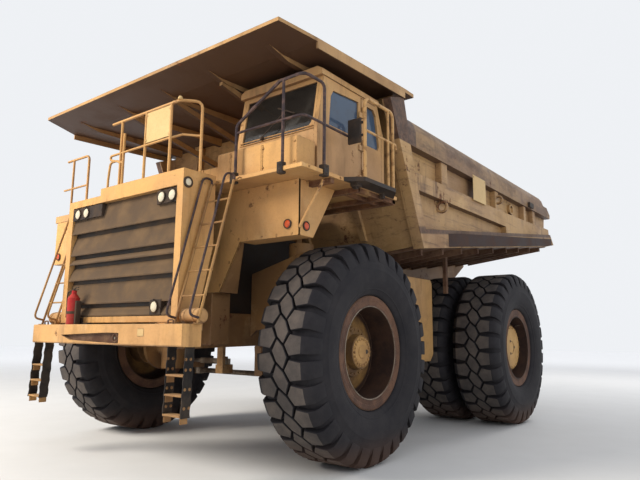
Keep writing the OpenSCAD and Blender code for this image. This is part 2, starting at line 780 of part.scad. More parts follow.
// Upright under one front strut, with its spindle and steering arm
module knuckle(s) on_side(s) {
    color(paint) {
        translate([kingpin_x, front_axle_y, knuckle_low])
            cylinder(h = strut_low - run_gap - knuckle_low, r = strut_r + 20);
        cross_pin(kingpin_x, front_wheel_x - 120, front_axle_y, tyre_r, 190);
        cross_pin(kingpin_x + 250, kingpin_x + 330, front_axle_y, tyre_r, 420);
        cross_pin(front_wheel_x - 120.5, front_wheel_x + 60, front_axle_y, tyre_r, 150);
        hull()
            for (p = [[0, 150], [tie_arm, 95]])
                translate([kingpin_x, front_axle_y + p[0], knuckle_low])
                    cylinder(h = arm_t, r = p[1], $fn = 24);
    }
}

module front_left_knuckle() knuckle(1);
module front_right_knuckle() knuckle(-1);

// Rod between the two steering arms, under them, with a pin's head below each
module tie_rod() color(steel) {
    y = front_axle_y + tie_arm;
    z = knuckle_low - run_gap - 60;
    both_sides()
        translate([kingpin_x, y, z - 60])
            cylinder(h = 120, r = 90);
    rod([-kingpin_x, y, z], [kingpin_x, y, z], 45);
}

// Steering cylinder's barrel and rod; the rod slides in the barrel's bore
module steer_barrel(s) on_side(s)
    color(steel) {
        y = front_axle_y + cyl_arm;
        z = arm_top + run_gap + eye_t / 2;
        difference() {
            union() {
                translate([steer_pin_x, y, arm_top + run_gap])
                    cylinder(h = eye_t, r = 85);
                cross_pin(steer_pin_x + 60, steer_pin_x + 640, y, z, 50);
            }
            translate([steer_pin_x, y, arm_top])
                cylinder(h = eye_t + 1, r = 40 + run_gap);
            cross_pin(steer_pin_x + 150, steer_pin_x + 641, y, z, 32 + run_gap);
        }
    }

module steer_rod(s) on_side(s)
    color(steel) {
        y = front_axle_y + cyl_arm;
        z = arm_top + run_gap + eye_t / 2;
        translate([kingpin_x, y, arm_top + run_gap])
            cylinder(h = eye_t, r = 80);
        cross_pin(steer_pin_x + 380, kingpin_x - 60, y, z, 32);
    }

module steer_left_barrel() steer_barrel(1);
module steer_right_barrel() steer_barrel(-1);
module steer_left_rod() steer_rod(1);
module steer_right_rod() steer_rod(-1);

// Wheels

// Tyre with its middle at x, its outline as [radius, offset from the middle]
module tyre(x, y) {
    w = tyre_w / 2;
    side = [
        [bead_r + 0.3, rim_w / 2 - 28.3], [flange_r + 8, rim_w / 2 - 28.3], [flange_r + 14, rim_w / 2 + 12],
        [flange_r + 120, 0.92 * w],
        [1060, w], [1240, 0.98 * w], [1390, 0.93 * w], [tyre_r - 45, 0.88 * w], [tyre_r, 0.72 * w]
    ];
    translate([x, y, tyre_r])
        rotate([0, 90, 0])
            rotate_extrude($fn = 72)
                polygon(concat(
                    [for (p = side) p],
                    [for (i = [len(side) - 1:-1:0]) [side[i][0], -side[i][1]]]
                ));
}

// Rim at x, its outboard side towards +X; the disc's face is at disc_x, its hub reaches hub_x
module rim(x, y, disc_x, hub_x, bore_r) {
    h = rim_w / 2;
    t = 28;
    translate([x, y, tyre_r])
        rotate([0, 90, 0])
            rotate_extrude($fn = 72)
                polygon([
                    [bore_r, disc_x - 330], [330, disc_x - 330], [330, disc_x - 60], [bead_r - t, disc_x - 120],
                    [bead_r - t, -h], [flange_r, -h], [flange_r, t - h], [bead_r, t - h],
                    [bead_r, h - t], [flange_r, h - t], [flange_r, h], [bead_r - t, h],
                    [bead_r - t, disc_x - 80], [340, disc_x], [340, disc_x + 30], [250, disc_x + 40],
                    [230, hub_x], [bore_r, hub_x]
                ]);
}

module front_rim(s) on_side(s)
    color(rust)
        difference() {
            rim(front_wheel_x, front_axle_y, 40, 190, 0);
            cross_pin(front_wheel_x - 600, front_wheel_x + 60 + 1, front_axle_y, tyre_r, 151);
            cross_pin(front_wheel_x - 600, front_wheel_x - 119, front_axle_y, tyre_r, 191);
        }

module rear_rims_at(s) on_side(s)
    color(rust)
        difference() {
            union() {
                rim(rear_outer_x, rear_axle_y, 160, 300, 0);
                mirror([1, 0, 0])
                    rim(-rear_inner_x, rear_axle_y, -40, -20, 0);
                cross_pin(rear_inner_x - 200, rear_outer_x, rear_axle_y, tyre_r, 420);
            }
            cross_pin(rear_inner_x - 600, rear_outer_x + 61, rear_axle_y, tyre_r, 281);
        }

module front_left_rim() front_rim(1);
module front_right_rim() front_rim(-1);
module front_left_tyre() color(rubber) tyre(front_wheel_x, front_axle_y);
module front_right_tyre() color(rubber) tyre(-front_wheel_x, front_axle_y);
module rear_left_rims() rear_rims_at(1);
module rear_right_rims() rear_rims_at(-1);
module rear_tyres_at(s) color(rubber) {
    tyre(s * rear_outer_x, rear_axle_y);
    tyre(s * rear_inner_x, rear_axle_y);
}
module rear_left_tyres() rear_tyres_at(1);
module rear_right_tyres() rear_tyres_at(-1);

// Cab door

door_line = [
    [door_y0, door_z0], [door_y0, door_z1], [door_y1 - 157, door_z1], [door_y1, 4700], [door_y1, door_z0]
];
door_pane = [
    [-3060, 4495], [-3060, 5080], [-3020, 5100], [-2850, 5100], [-2790, 5020], [-2700, 4560], [-2740, 4495]
];

module cab_door() color(paint) {
    difference() {
        side_form(door_line, cab_out_x - wall_t + 6, cab_out_x + 6);
        side_form(door_pane, 0, 4000);
    }
    for (z = hinge_zs) {
        translate([hinge_x, door_y0 + 14, z])
            cylinder(h = 90, r = hinge_r);
        block([cab_out_x, door_y0 + 14, z], [hinge_x, door_y0 + 70, z + 90]);
    }
}

module door_glass() color("skyblue")
    fitted_pane(door_pane, cab_out_x - 36, cab_out_x - 36 + glass_t);

// Bed

// Places the children in the bed floor's own frame: its front lower edge on the centre plane
module bed_frame()
    translate([0, bed_low_y, bed_low_z])
        rotate([bed_slope, 0, 0])
            children();

floor_len = 7230;
floor_drop = 240;
floor_half = bed_x - 150 - bed_t - 0.5;

// Height of the floor's underside at a distance x from the centre plane
function floor_under(x, y) = bed_low_z + slope_k * (y - bed_low_y)
    - floor_drop * (1 - x / floor_half) / cos(bed_slope);

module bed_floor() color(rust) {
    bed_frame() {
        front_form([
            [-floor_half, 0], [0, -floor_drop], [floor_half, 0], [floor_half, bed_t],
            [0, bed_t - floor_drop], [-floor_half, bed_t]
        ], 60, floor_len);
        // Cross ribs under the floor, outside the main beams
        for (s = [250:800:floor_len - 300], side = [-1, 1])
            front_form([
                [side * floor_half, 10], [side * floor_half, -100],
                [side * (rail_out + 75), -floor_drop - 100],
                [side * (rail_out + 75), 10 - floor_drop * (1 - (rail_out + 75) / floor_half)]
            ], s, s + 60);
    }
}

// Main beams under the floor, resting on the frame's rails, with the hinge's ears
module bed_beams() color(paint)
    both_sides() {
        y0 = bed_low_y + 120;
        y1 = 4700;
        side_form([
            [y0, frame_z(y0) + 12], [y0, floor_under(rail_in, y0) - 1], [y1, floor_under(rail_in, y1) - 1],
            [y1, floor_under(rail_in, y1) - 160], [hinge_y + 260, frame_z(hinge_y + 260) + 12]
        ], rail_in, rail_out + 65);
        side_form([
            [hinge_y - 420, frame_z(hinge_y - 420) + 60], [hinge_y + 240, frame_z(hinge_y + 240) + 60],
            [hinge_y + 150, hinge_z - 40], [hinge_y + 80, hinge_z - 130], [hinge_y - 80, hinge_z - 130],
            [hinge_y - 150, hinge_z - 40]
        ], rail_out + 8, rail_out + 65);
        cross_pin(rail_in + 5, rail_out + 65, hinge_y, hinge_z, 85 - run_gap);
        // Ears for the hoist cylinders' upper pins, one each side of the eye
        for (x = [hoist_x - 55 - 8 - 40, hoist_x + 55 + 8])
            side_form(concat(
                [for (a = [200:20:340]) hoist_top + 80 * [cos(a), sin(a)]],
                [[hoist_top[0] + 260, floor_under(x, hoist_top[0] - 260) - 1],
                 [hoist_top[0] - 260, floor_under(x, hoist_top[0] - 260) - 1]]
            ), x, x + 40);
    }

// One side of the bed: a sheet with rails, ribs and a front post on its outer face
module bed_side() {
    rail = 150;
    sheet = bed_x - rail;
    front_low = [bed_low_y, bed_low_z];
    front_bend = [-2425, 4740];
    rear_low = [4760, 3941];
    tip = [5550, 4085];
    side_form([
        front_low, rear_low, tip, [5258, 4368], [5354, 4834], [4822, bed_top_z],
        [-2300, bed_top_z], [-2300, 4900], front_bend
    ], sheet - bed_t, sheet);
    // Top rail
    side_form([
        [-2230, bed_top_z], [4822, bed_top_z], [5354, 4834], [5330, 4740], [-2150, 4740]
    ], sheet, bed_x);
    // Middle rail
    side_form([[-1900, 4060], [2069, 4060], [3900, 4335], [-1980, 4335]], sheet, bed_x - 30);
    // Lower rail along the floor
    side_form([front_low, rear_low, tip, [5300, 4320], [-1735, 3423]], sheet, bed_x);
    // Front post
    side_form([
        front_low, [-1598, 3427], [-2061, 4740], [-2262, 5477], [-2676, 5334], front_bend
    ], sheet, bed_x + 2);
    // Rub rail
    side_form([[-745, 3260], [5060, 4004], [5060, 4170], [-745, 3488]], bed_x, bed_x + 90);
    // Upright ribs, as [front, back, lower end]
    for (r = [[-901, -661, 3700], [1415, 1749, 3700], [3980, 4220, 4200]])
        block([sheet, r[0], r[2]], [bed_x - 10, r[1], 4800]);
}

module bed_sides() color(paint)
    both_sides()
        bed_side();

module bed_front_wall() color(paint) {
    half = bed_x - 150 - bed_t - 0.5;
    low = [bed_low_y + 142, bed_low_z - 180];
    side_foot = floor_under(half, low[0] - 67) + bed_t / cos(bed_slope) + 0.5;
    keel_foot = floor_under(0, low[0] + bed_t) + bed_t / cos(bed_slope) + 0.5;
    intersection() {
        side_form([
            low, [-2380, 4740], [-2300, canopy_under(-2300) - 0.3],
            [-2300 + bed_t, canopy_under(-2300 + bed_t) - 0.3], [-2380 + bed_t, 4740], [low[0] + bed_t, low[1]]
        ], -half, half);
        front_form([
            [-half, side_foot], [0, keel_foot], [half, side_foot], [half, canopy_z], [-half, canopy_z]
        ], -3000, 0);
    }
    // Stiffeners on the wall's front face
    rib_top = canopy_under(-2480) - 10;
    for (x = [-1800, -600, 600, 1800])
        side_form([
            [bed_low_y + 30, bed_low_z + 200], [-2380, 4740], [-2300, rib_top],
            [-2480, rib_top], [-2520, 4740], [bed_low_y - 100, bed_low_z + 200]
        ], x - 60, x + 60);
}

// The canopy's fold, the place where it turns level, and the height of its underside between them
fold_y = -4507;
fold_z = 5435;
level_y = -2262;
function canopy_under(y) =
    fold_z + (canopy_z - 60 - fold_z) * min(1, (y - fold_y) / (level_y - fold_y));

module bed_canopy() color(paint) {
    t = 50;
    intersection() {
        side_form([
            [canopy_y, 5505], [fold_y, fold_z], [level_y, canopy_z - 60], [-1990, canopy_z - 60],
            [-1990, canopy_z], [level_y, canopy_z], [fold_y, fold_z + t], [canopy_y, 5505 + t]
        ], -canopy_x, canopy_x);
        plan_form([
            [-canopy_x, 0], [-canopy_x, fold_y], [150 - canopy_x, canopy_y - 1],
            [canopy_x - 150, canopy_y - 1], [canopy_x, fold_y], [canopy_x, 0]
        ], 5000, 6000);
    }
    // Ribs under the canopy, running forward from the bed's front wall
    for (x = [-2300, -1100, 0, 1100, 2300])
        side_form([
            [-2482, canopy_z - 72], [-2482, cab_top + 45], [-4400, cab_top + 45], [-4800, fold_z + 36],
            [fold_y, fold_z + 2]
        ], x - 40, x + 40);
    // Turned-down edges
    both_sides()
        side_form([
            [level_y, canopy_z - 61], [level_y, canopy_z - 160], [fold_y, fold_z - 90], [fold_y, fold_z + 1]
        ], canopy_x - 25, canopy_x);
}

// Bars that hang between the twin tyres from the floor's underside
module rock_ejectors() color(rust)
    both_sides() {
        x = (rear_outer_x + rear_inner_x) / 2;
        y = rear_axle_y - 1460;
        top = floor_under(x - 60, y - 60) - 0.3;
        block([x - 36, y - 40, 2560], [x + 36, y + 40, top - 50]);
        block([x - 60, y - 60, top - 50], [x + 60, y + 60, top]);
    }

// Two-stage hoist cylinders, each drawn along its own slant
module hoist_frame(s) on_side(s)
    translate([hoist_x, hoist_low[0], hoist_low[1]])
        rotate([-hoist_lean, 0, 0])
            children();

barrel_top = 1530;
sleeve_r = hoist_r - 40;
ram_r = sleeve_r - 30;

module hoist_barrel(s) color(steel)
    hoist_frame(s)
        difference() {
            union() {
                translate([0, 0, 80])
                    cylinder(h = barrel_top - 80, r = hoist_r);
                rotate([0, 90, 0])
                    translate([0, 0, -55])
                        cylinder(h = 110, r = 130);
            }
            translate([0, 0, 150])
                cylinder(h = barrel_top, r = sleeve_r + 1);
            rotate([0, 90, 0])
                translate([0, 0, -80])
                    cylinder(h = 200, r = 60 + run_gap);
        }

module hoist_sleeve(s) color(steel)
    hoist_frame(s)
        difference() {
            translate([0, 0, 160])
                cylinder(h = barrel_top - 105, r = sleeve_r);
            translate([0, 0, 180])
                cylinder(h = barrel_top, r = ram_r + 1);
        }

// Inner ram, with an eye whose stub pins reach the bed's ears
module hoist_ram(s) color(steel)
    hoist_frame(s) {
        translate([0, 0, 190])
            cylinder(h = hoist_run - 285, r = ram_r);
        translate([0, 0, hoist_run - 96])
            cylinder(h = 40, r = 50);
        rotate([0, 90, 0])
            translate([-hoist_run, 0, -55])
                cylinder(h = 110, r = 80);
        rotate([0, 90, 0])
            translate([-hoist_run, 0, -62.7])
                cylinder(h = 125.4, r = 45);
    }

module hoist_left_barrel() hoist_barrel(1);
module hoist_right_barrel() hoist_barrel(-1);
module hoist_left_sleeve() hoist_sleeve(1);
module hoist_right_sleeve() hoist_sleeve(-1);
module hoist_left_ram() hoist_ram(1);
module hoist_right_ram() hoist_ram(-1);

frame();
bumper();
radiator_guard();
radiator_shutters();
radiator();
engine();
driveline();
rear_axle();
front_struts();
rear_struts();
deck_plates();
cab_deck();
fender_boxes();
step_platform();
side_tanks();
air_cleaners();
cab_floor();
cab_sides();
cab_ends();
cab_roof();
cab_glass();
cab_interior();
ladders();
cab_rails();
deck_rails();
headlamps();
amber_lamps();
mirrors();
extinguisher();
front_left_knuckle();
front_right_knuckle();
tie_rod();
steer_left_barrel();
steer_left_rod();
steer_right_barrel();
steer_right_rod();
front_left_rim();
front_right_rim();
front_left_tyre();
front_right_tyre();
rear_left_rims();
rear_right_rims();
rear_left_tyres();
rear_right_tyres();
cab_door();
door_glass();
bed_floor();
bed_beams();
bed_sides();
bed_front_wall();
bed_canopy();
rock_ejectors();
hoist_left_barrel();
hoist_left_sleeve();
hoist_left_ram();
hoist_right_barrel();
hoist_right_sleeve();
hoist_right_ram();
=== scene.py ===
"""The look of a worn mining dump truck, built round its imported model. All sizes are in metres."""
import math

import bmesh
import bpy
from mathutils import Matrix, Vector


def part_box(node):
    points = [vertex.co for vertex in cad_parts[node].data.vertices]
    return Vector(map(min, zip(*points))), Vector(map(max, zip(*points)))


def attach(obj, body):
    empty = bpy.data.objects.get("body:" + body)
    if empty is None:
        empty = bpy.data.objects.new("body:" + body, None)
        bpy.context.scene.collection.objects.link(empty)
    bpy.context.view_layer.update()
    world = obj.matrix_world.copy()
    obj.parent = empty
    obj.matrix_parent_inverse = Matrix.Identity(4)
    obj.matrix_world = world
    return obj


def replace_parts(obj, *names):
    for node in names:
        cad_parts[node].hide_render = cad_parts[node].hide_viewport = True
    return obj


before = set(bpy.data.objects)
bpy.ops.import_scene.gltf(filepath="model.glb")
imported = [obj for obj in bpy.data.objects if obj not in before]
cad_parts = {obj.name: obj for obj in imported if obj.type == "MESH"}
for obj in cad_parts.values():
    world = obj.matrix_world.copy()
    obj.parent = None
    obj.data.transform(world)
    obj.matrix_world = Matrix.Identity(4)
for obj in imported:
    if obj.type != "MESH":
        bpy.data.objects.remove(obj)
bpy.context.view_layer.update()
ROOT = "chassis"
FRONT = (0, -1, 0)
LEFT = (1, 0, 0)
UP = (0, 0, 1)


def middle_of(node):
    low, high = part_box(node)
    return (low + high) / 2


# Camera and lights

# The camera's place, and its turn from the length axis, tilt and roll in radians
CAMERA_AT = (7.131, -9.837, 1.758)
CAMERA_TURN = 0.6605
CAMERA_TILT = 0.1622
CAMERA_ROLL = 0.0085
CAMERA_LENS = 32.16


def placed(name, data):
    """A new object in the scene."""
    thing = bpy.data.objects.new(name, data)
    bpy.context.collection.objects.link(thing)
    return thing


def make_camera():
    """The camera at the photo's angle, turned, tilted and rolled."""
    data = bpy.data.cameras.new("view")
    data.lens = CAMERA_LENS
    data.sensor_width = 36
    data.clip_end = 200
    camera = placed("view", data)
    camera.matrix_world = (Matrix.Translation(CAMERA_AT) @ Matrix.Rotation(CAMERA_TURN, 4, "Z")
                           @ Matrix.Rotation(math.pi / 2 + CAMERA_TILT, 4, "X")
                           @ Matrix.Rotation(CAMERA_ROLL, 4, "Z"))
    bpy.context.scene.camera = camera


def add_light(name, place, target, size, power, colour=(1, 1, 1)):
    """A round lamp that looks at target and shows in no mirror."""
    data = bpy.data.lights.new(name, "AREA")
    data.shape = "DISK"
    data.size = size
    data.energy = power
    data.color = colour
    light = placed(name, data)
    light.location = place
    light.rotation_euler = (Vector(target) - Vector(place)).to_track_quat("-Z", "Y").to_euler()
    light.visible_glossy = False


def make_lights():
    add_light("key", (-9, -17, 13), (0, -1, 2.5), 9, 4900, (1, 0.95, 0.87))
    add_light("fill", (15, -6, 8), (0, 0, 2), 9, 420, (0.9, 0.95, 1))
    add_light("back", (4, 16, 12), (0, 0, 3), 9, 1300)


def make_world():
    """Even sky light; camera, mirror and glass rays see a pale backdrop."""
    world = bpy.data.worlds.new("studio")
    bpy.context.scene.world = world
    world.use_nodes = True
    nodes, links = world.node_tree.nodes, world.node_tree.links
    nodes.clear()

    def add(kind, *inputs):
        node = nodes.new("ShaderNode" + kind)
        for socket, value in zip(node.inputs, inputs):
            if isinstance(value, bpy.types.NodeSocket):
                links.new(value, socket)
            else:
                socket.default_value = value
        return node

    rays = add("LightPath").outputs
    seen = rays["Is Camera Ray"]
    for ray in ("Is Glossy Ray", "Is Transmission Ray"):
        either = add("Math", seen, rays[ray])
        either.operation = "MAXIMUM"
        seen = either.outputs[0]
    sky = add("Background", (0.86, 0.91, 1, 1), 0.62)
    backdrop = add("Background", (0.86, 0.88, 0.91, 1), 1)
    add("OutputWorld", add("MixShader", seen, sky.outputs[0], backdrop.outputs[0]).outputs[0])


# Materials

def srgb(red, green, blue):
    """A colour as seen on screen, 0 to 255, as the linear one that the shaders take."""
    def linear(value):
        value /= 255
        return value / 12.92 if value <= 0.04045 else ((value + 0.055) / 1.055) ** 2.4
    return (linear(red), linear(green), linear(blue), 1)


class Finish:
    """One procedural material, built node by node. Patterns are placed in the truck's own frame."""

    def __init__(self, name):
        self.material = bpy.data.materials.new(name)
        self.material.use_nodes = True
        self.nodes = self.material.node_tree.nodes
        self.links = self.material.node_tree.links
        self.nodes.clear()
        self.tone = None
        output = self.nodes.new("ShaderNodeOutputMaterial")
        self.surface = self.nodes.new("ShaderNodeBsdfPrincipled")
        self.links.new(self.surface.outputs[0], output.inputs[0])
        self.place = self.nodes.new("ShaderNodeTexCoord").outputs["Object"]
        self.face = self.nodes.new("ShaderNodeNewGeometry")

    def put(self, socket, value):
        """Links a socket or sets it. A colour is given as seen on screen, 0 to 255."""
        if isinstance(value, bpy.types.NodeSocket):
            self.links.new(value, socket)
        elif socket.type == "RGBA":
            socket.default_value = srgb(*value)
        else:
            socket.default_value = value

    def fill(self, node, values):
        for name, value in values.items():
            self.put(node.inputs[name.replace("_", " ")], value)

    def add(self, kind, **inputs):
        node = self.nodes.new("ShaderNode" + kind)
        self.fill(node, inputs)
        return node

    def math(self, operation, first, second=0.0):
        node = self.add("Math")
        node.operation = operation
        self.put(node.inputs[0], first)
        self.put(node.inputs[1], second)
        return node.outputs[0]

    def times(self, first, second):
        return self.math("MULTIPLY", first, second)

    def plus(self, first, second):
        return self.math("ADD", first, second)

    def larger(self, first, second):
        return self.math("MAXIMUM", first, second)

    def noise(self, scale, detail=3.0, roughness=0.55, stretch=(1, 1, 1), shift=0.0):
        mapping = self.add("Mapping", Vector=self.place, Location=(shift, 2 * shift, -shift), Scale=stretch)
        return self.add("TexNoise", Vector=mapping.outputs[0], Scale=scale, Detail=detail,
                        Roughness=roughness).outputs[0]

    def step(self, value, low, high):
        """0 below low, 1 above high and a smooth rise between them."""
        node = self.add("MapRange", Value=value, From_Min=low, From_Max=high)
        node.interpolation_type = "SMOOTHSTEP"
        return node.outputs[0]

    def mix(self, share, first, second):
        node = self.add("Mix")
        node.data_type = "RGBA"
        self.put(node.inputs[0], share)
        self.put(node.inputs[6], first)
        self.put(node.inputs[7], second)
        return node.outputs[2]

    def at(self, letter):
        """The place along one axis of the truck."""
        return self.add("SeparateXYZ", Vector=self.place).outputs[letter]

    def facing(self, letter):
        """How far the face looks along one axis."""
        return self.add("SeparateXYZ", Vector=self.face.outputs["Normal"]).outputs[letter]

    def bump(self, height, distance, strength=1.0, under=None):
        node = self.add("Bump", Strength=strength, Distance=distance, Height=height)
        if under is not None:
            self.links.new(under, node.inputs["Normal"])
        return node.outputs[0]

    def cover(self, colour, share, where):
        """Lays a share of a colour over the tone so far."""
        self.tone = self.mix(self.times(where, share), self.tone, colour)

    def done(self, normal, roughness, shine=0.3, **values):
        self.fill(self.surface, dict(Base_Color=self.tone, Normal=normal, Roughness=roughness,
                                     Specular_IOR_Level=shine, **values))
        return self.material

    def edges(self, radius):
        """The normal of edges rounded to a radius, and how near a point lies to such an edge."""
        bevel = self.add("Bevel", Radius=radius)
        bevel.samples = 4
        dot = self.add("VectorMath")
        dot.operation = "DOT_PRODUCT"
        self.links.new(bevel.outputs[0], dot.inputs[0])
        self.links.new(self.face.outputs["Normal"], dot.inputs[1])
        return bevel.outputs[0], self.math("SUBTRACT", 1.0, dot.outputs["Value"])


def painted(name, fresh, faded, rust_share=0.5, grime=0.5, underside_shade=0.0, rubbed=False):
    """Sun-bleached paint with dust, run-down dirt, scratches and rust where it has worn through."""
    f = Finish(name)
    up = f.facing("Z")
    f.tone = f.mix(f.step(f.noise(0.55, 4), 0.35, 0.65), fresh, faded)
    f.cover((226, 190, 140), 0.45, f.step(f.noise(2.3, 5, 0.65, shift=3.1), 0.52, 0.8))
    fine = f.noise(38, 3, 0.7)
    f.cover((150, 112, 70), 0.22, f.step(fine, 0.45, 0.75))
    # Dirt that ran down with the rain
    runs = f.noise(5.5, 5, 0.6, (1, 1, 0.13), 1.7)
    patches = f.noise(0.9, 3, 0.6, shift=6.2)
    run_share = f.times(f.step(runs, 0.5, 0.74), f.step(patches, 0.36, 0.62))
    f.cover((104, 76, 50), grime, run_share)
    # Grime in large soft patches, heavier low down
    low = f.step(f.at("Z"), 4.2, 0.6)
    film = f.times(f.step(f.noise(1.5, 6, 0.62, shift=9.4), 0.44, 0.68), f.plus(0.35, f.times(low, 0.5)))
    f.cover((120, 90, 62), grime, film)
    # Dust that lies on what faces up
    f.cover((176, 146, 112), 0.45, f.step(up, 0.5, 0.95))
    # Painted shade: darker on what faces down, standing in for the shade under things
    f.cover((72, 50, 36), underside_shade, f.step(up, -0.35, -0.8))
    # Scratches along the sides, and rust where the paint has gone
    scratch = f.noise(7, 6, 0.8, (2.2, 0.35, 3.0), 4.4)
    scratch_share = f.times(f.step(scratch, 0.63, 0.69), 0.75 * rust_share)
    normal, worn = f.edges(0.012)
    chips = f.times(f.step(worn, 0.02, 0.16), f.step(f.noise(16, 4, 0.7, shift=2.2), 0.42, 0.6))
    blotch = f.step(f.plus(f.noise(2.1, 8, 0.72, shift=12.7), f.times(f.noise(11, 4, 0.6, shift=5.5), 0.25)),
                    0.79 - 0.1 * rust_share, 0.87 - 0.1 * rust_share)
    bare = f.larger(f.times(chips, min(1.0, 0.5 + rust_share)), f.larger(scratch_share, blotch))
    rust_tone = f.mix(f.step(f.noise(24, 4, 0.7), 0.4, 0.62), (70, 43, 31), (118, 76, 50))
    f.tone = f.mix(bare, f.tone, rust_tone)
    if rubbed:
        # Long rub marks, and the low rail's upper edge, top rail and front corner worn to dark rust
        rise = f.math("SUBTRACT", f.at("Z"), f.times(f.at("Y"), 0.128))
        side = f.math("ABSOLUTE", f.at("X"))
        lip = f.times(f.step(side, 2.885, 2.895),
                      f.times(f.step(rise, 3.555, 3.585), f.step(rise, 3.72, 3.66)))
        marks = f.times(f.step(f.noise(3.2, 9, 0.78, (1, 0.22, 3.4), 7.7), 0.5, 0.66), 0.55)
        high = f.times(f.step(side, 2.76, 2.78), f.step(f.at("Z"), 4.73, 4.75))
        corner = f.times(high, f.step(f.at("Y"), -1.82, -1.9))
        wear = f.step(f.noise(2.6, 7, 0.7, (1, 0.4, 1.6), 3.9), 0.4, 0.62)
        high = f.times(high, f.plus(0.42, f.times(wear, 0.35)))
        worn_off = f.larger(f.larger(f.times(lip, 0.85), marks), f.larger(high, f.times(corner, 0.92)))
        dark = f.mix(f.step(f.noise(14, 5, 0.7), 0.4, 0.62), (58, 40, 36), (92, 66, 54))
        f.tone = f.mix(worn_off, f.tone, dark)
    dents = f.bump(f.noise(1.4, 2, 0.4), 0.03, 0.35, normal)
    rough = f.bump(fine, 0.004, 0.35, dents)
    return f.done(f.bump(bare, 0.0025, -0.6, rough), f.plus(0.5, f.times(f.larger(bare, film), 0.3)), 0.35)


def rusty(name, dark, light, paint_left=0.0):
    """Scaly rust, with what is left of a coat of paint."""
    f = Finish(name)
    f.tone = f.mix(f.step(f.noise(3.2, 7, 0.7), 0.36, 0.66), dark, light)
    specks = f.noise(42, 4, 0.75)
    f.cover((46, 30, 24), 0.6, f.step(specks, 0.55, 0.75))
    f.cover((136, 106, 78), 0.5, f.step(f.noise(6, 5, 0.6, (1, 1, 0.2), 8.0), 0.5, 0.78))
    left = f.step(f.noise(1.8, 7, 0.7, shift=3.3), 0.62 - 0.2 * paint_left, 0.7 - 0.2 * paint_left)
    f.cover((190, 150, 96), min(1.0, 2 * paint_left), left)
    f.cover((150, 122, 94), 0.4, f.step(f.facing("Z"), 0.55, 0.95))
    normal, worn = f.edges(0.008)
    f.cover((158, 120, 84), 0.35, f.step(worn, 0.03, 0.2))
    scale = f.bump(f.noise(9, 8, 0.75), 0.006, 0.5, normal)
    return f.done(f.bump(specks, 0.003, 0.5, scale), f.plus(0.62, f.times(specks, 0.3)))


def dark_metal(name, base, dust, sheen=0.55):
    """Black paint under dust, rubbed through in places."""
    f = Finish(name)
    cloud = f.step(f.noise(2.6, 6, 0.65), 0.38, 0.7)
    f.tone = f.mix(f.times(cloud, 0.55), base, dust)
    f.cover(dust, 0.6, f.step(f.facing("Z"), 0.3, 0.9))
    fine = f.noise(48, 3, 0.7)
    f.cover((96, 72, 54), 0.35, f.step(fine, 0.55, 0.8))
    normal, worn = f.edges(0.008)
    f.cover((128, 104, 82), 0.4, f.step(worn, 0.03, 0.2))
    return f.done(f.bump(fine, 0.003, 0.4, normal), f.plus(sheen, f.times(cloud, 0.3)), 0.4)


def bare_steel(name, base, bright, metal=0.6):
    """Greasy steel with dust stuck to it."""
    f = Finish(name)
    cloud = f.step(f.noise(3.4, 6, 0.65), 0.4, 0.68)
    f.tone = f.mix(cloud, bright, base)
    fine = f.noise(55, 3, 0.7)
    f.cover((120, 96, 74), 0.4, f.step(fine, 0.5, 0.8))
    normal = f.edges(0.006)[0]
    return f.done(f.bump(fine, 0.002, 0.4, normal), f.plus(0.34, f.times(cloud, 0.4)), 0.5, Metallic=metal)


def rubber(name, base, dust, dust_share):
    """Tyre rubber, cut and dusty where it meets the road."""
    f = Finish(name)
    cloud = f.step(f.noise(3.0, 7, 0.7), 0.3, 0.72)
    f.tone = f.mix(f.times(cloud, dust_share), base, dust)
    fine = f.noise(60, 4, 0.75)
    f.cover((22, 20, 21), 0.4, f.step(fine, 0.5, 0.85))
    f.cover((20, 18, 19), 0.3, f.step(f.noise(20, 5, 0.8, (1, 0.4, 1), 7.1), 0.62, 0.7))
    f.cover((122, 88, 66), 0.35, f.step(f.at("Z"), 0.5, 0.0))
    relief = f.bump(f.noise(8, 5, 0.7, shift=1.3), 0.006, 0.35)
    return f.done(f.bump(fine, 0.0025, 0.5, relief), f.math("SUBTRACT", 0.86, f.times(fine, 0.2)))


def rail_finish(name):
    """Worn black tubes, with what stands outside the cab door in the truck's own colour."""
    f = Finish(name)
    wear = f.step(f.noise(9, 5, 0.7), 0.46, 0.62)
    black = f.mix(wear, (52, 40, 42), (96, 74, 66))
    tan = f.mix(wear, (196, 152, 96), (150, 112, 72))
    f.tone = f.mix(f.step(f.at("X"), 3.0, 3.02), black, tan)
    return f.done(f.bump(f.noise(60, 3, 0.7), 0.002, 0.5), f.plus(0.4, f.times(wear, 0.3)), 0.4)


def rim_finish(name, middle):
    """Rusty rim round a wheel's middle: dull flange, dark barrel, ochre disc."""
    f = Finish(name)
    along = f.plus(f.at("Y"), -middle.y)
    above = f.plus(f.at("Z"), -middle.z)
    radius = f.math("SQRT", f.plus(f.times(along, along), f.times(above, above)))
    cloud = f.step(f.noise(3.4, 7, 0.7), 0.36, 0.66)
    flange = f.mix(cloud, (74, 50, 38), (108, 76, 56))
    barrel = f.mix(cloud, (44, 30, 25), (66, 45, 34))
    disc = f.mix(cloud, (134, 100, 56), (92, 66, 42))
    f.tone = f.mix(f.step(radius, 0.5, 0.56), disc, barrel)
    f.tone = f.mix(f.step(radius, 0.63, 0.65), f.tone, flange)
    specks = f.noise(44, 4, 0.75)
    f.cover((38, 26, 22), 0.5, f.step(specks, 0.55, 0.75))
    normal, worn = f.edges(0.01)
    f.cover((162, 126, 92), 0.5, f.step(worn, 0.03, 0.2))
    return f.done(f.bump(f.noise(9, 8, 0.75), 0.005, 0.5, normal), f.plus(0.5, f.times(specks, 0.3)),
                  0.35)


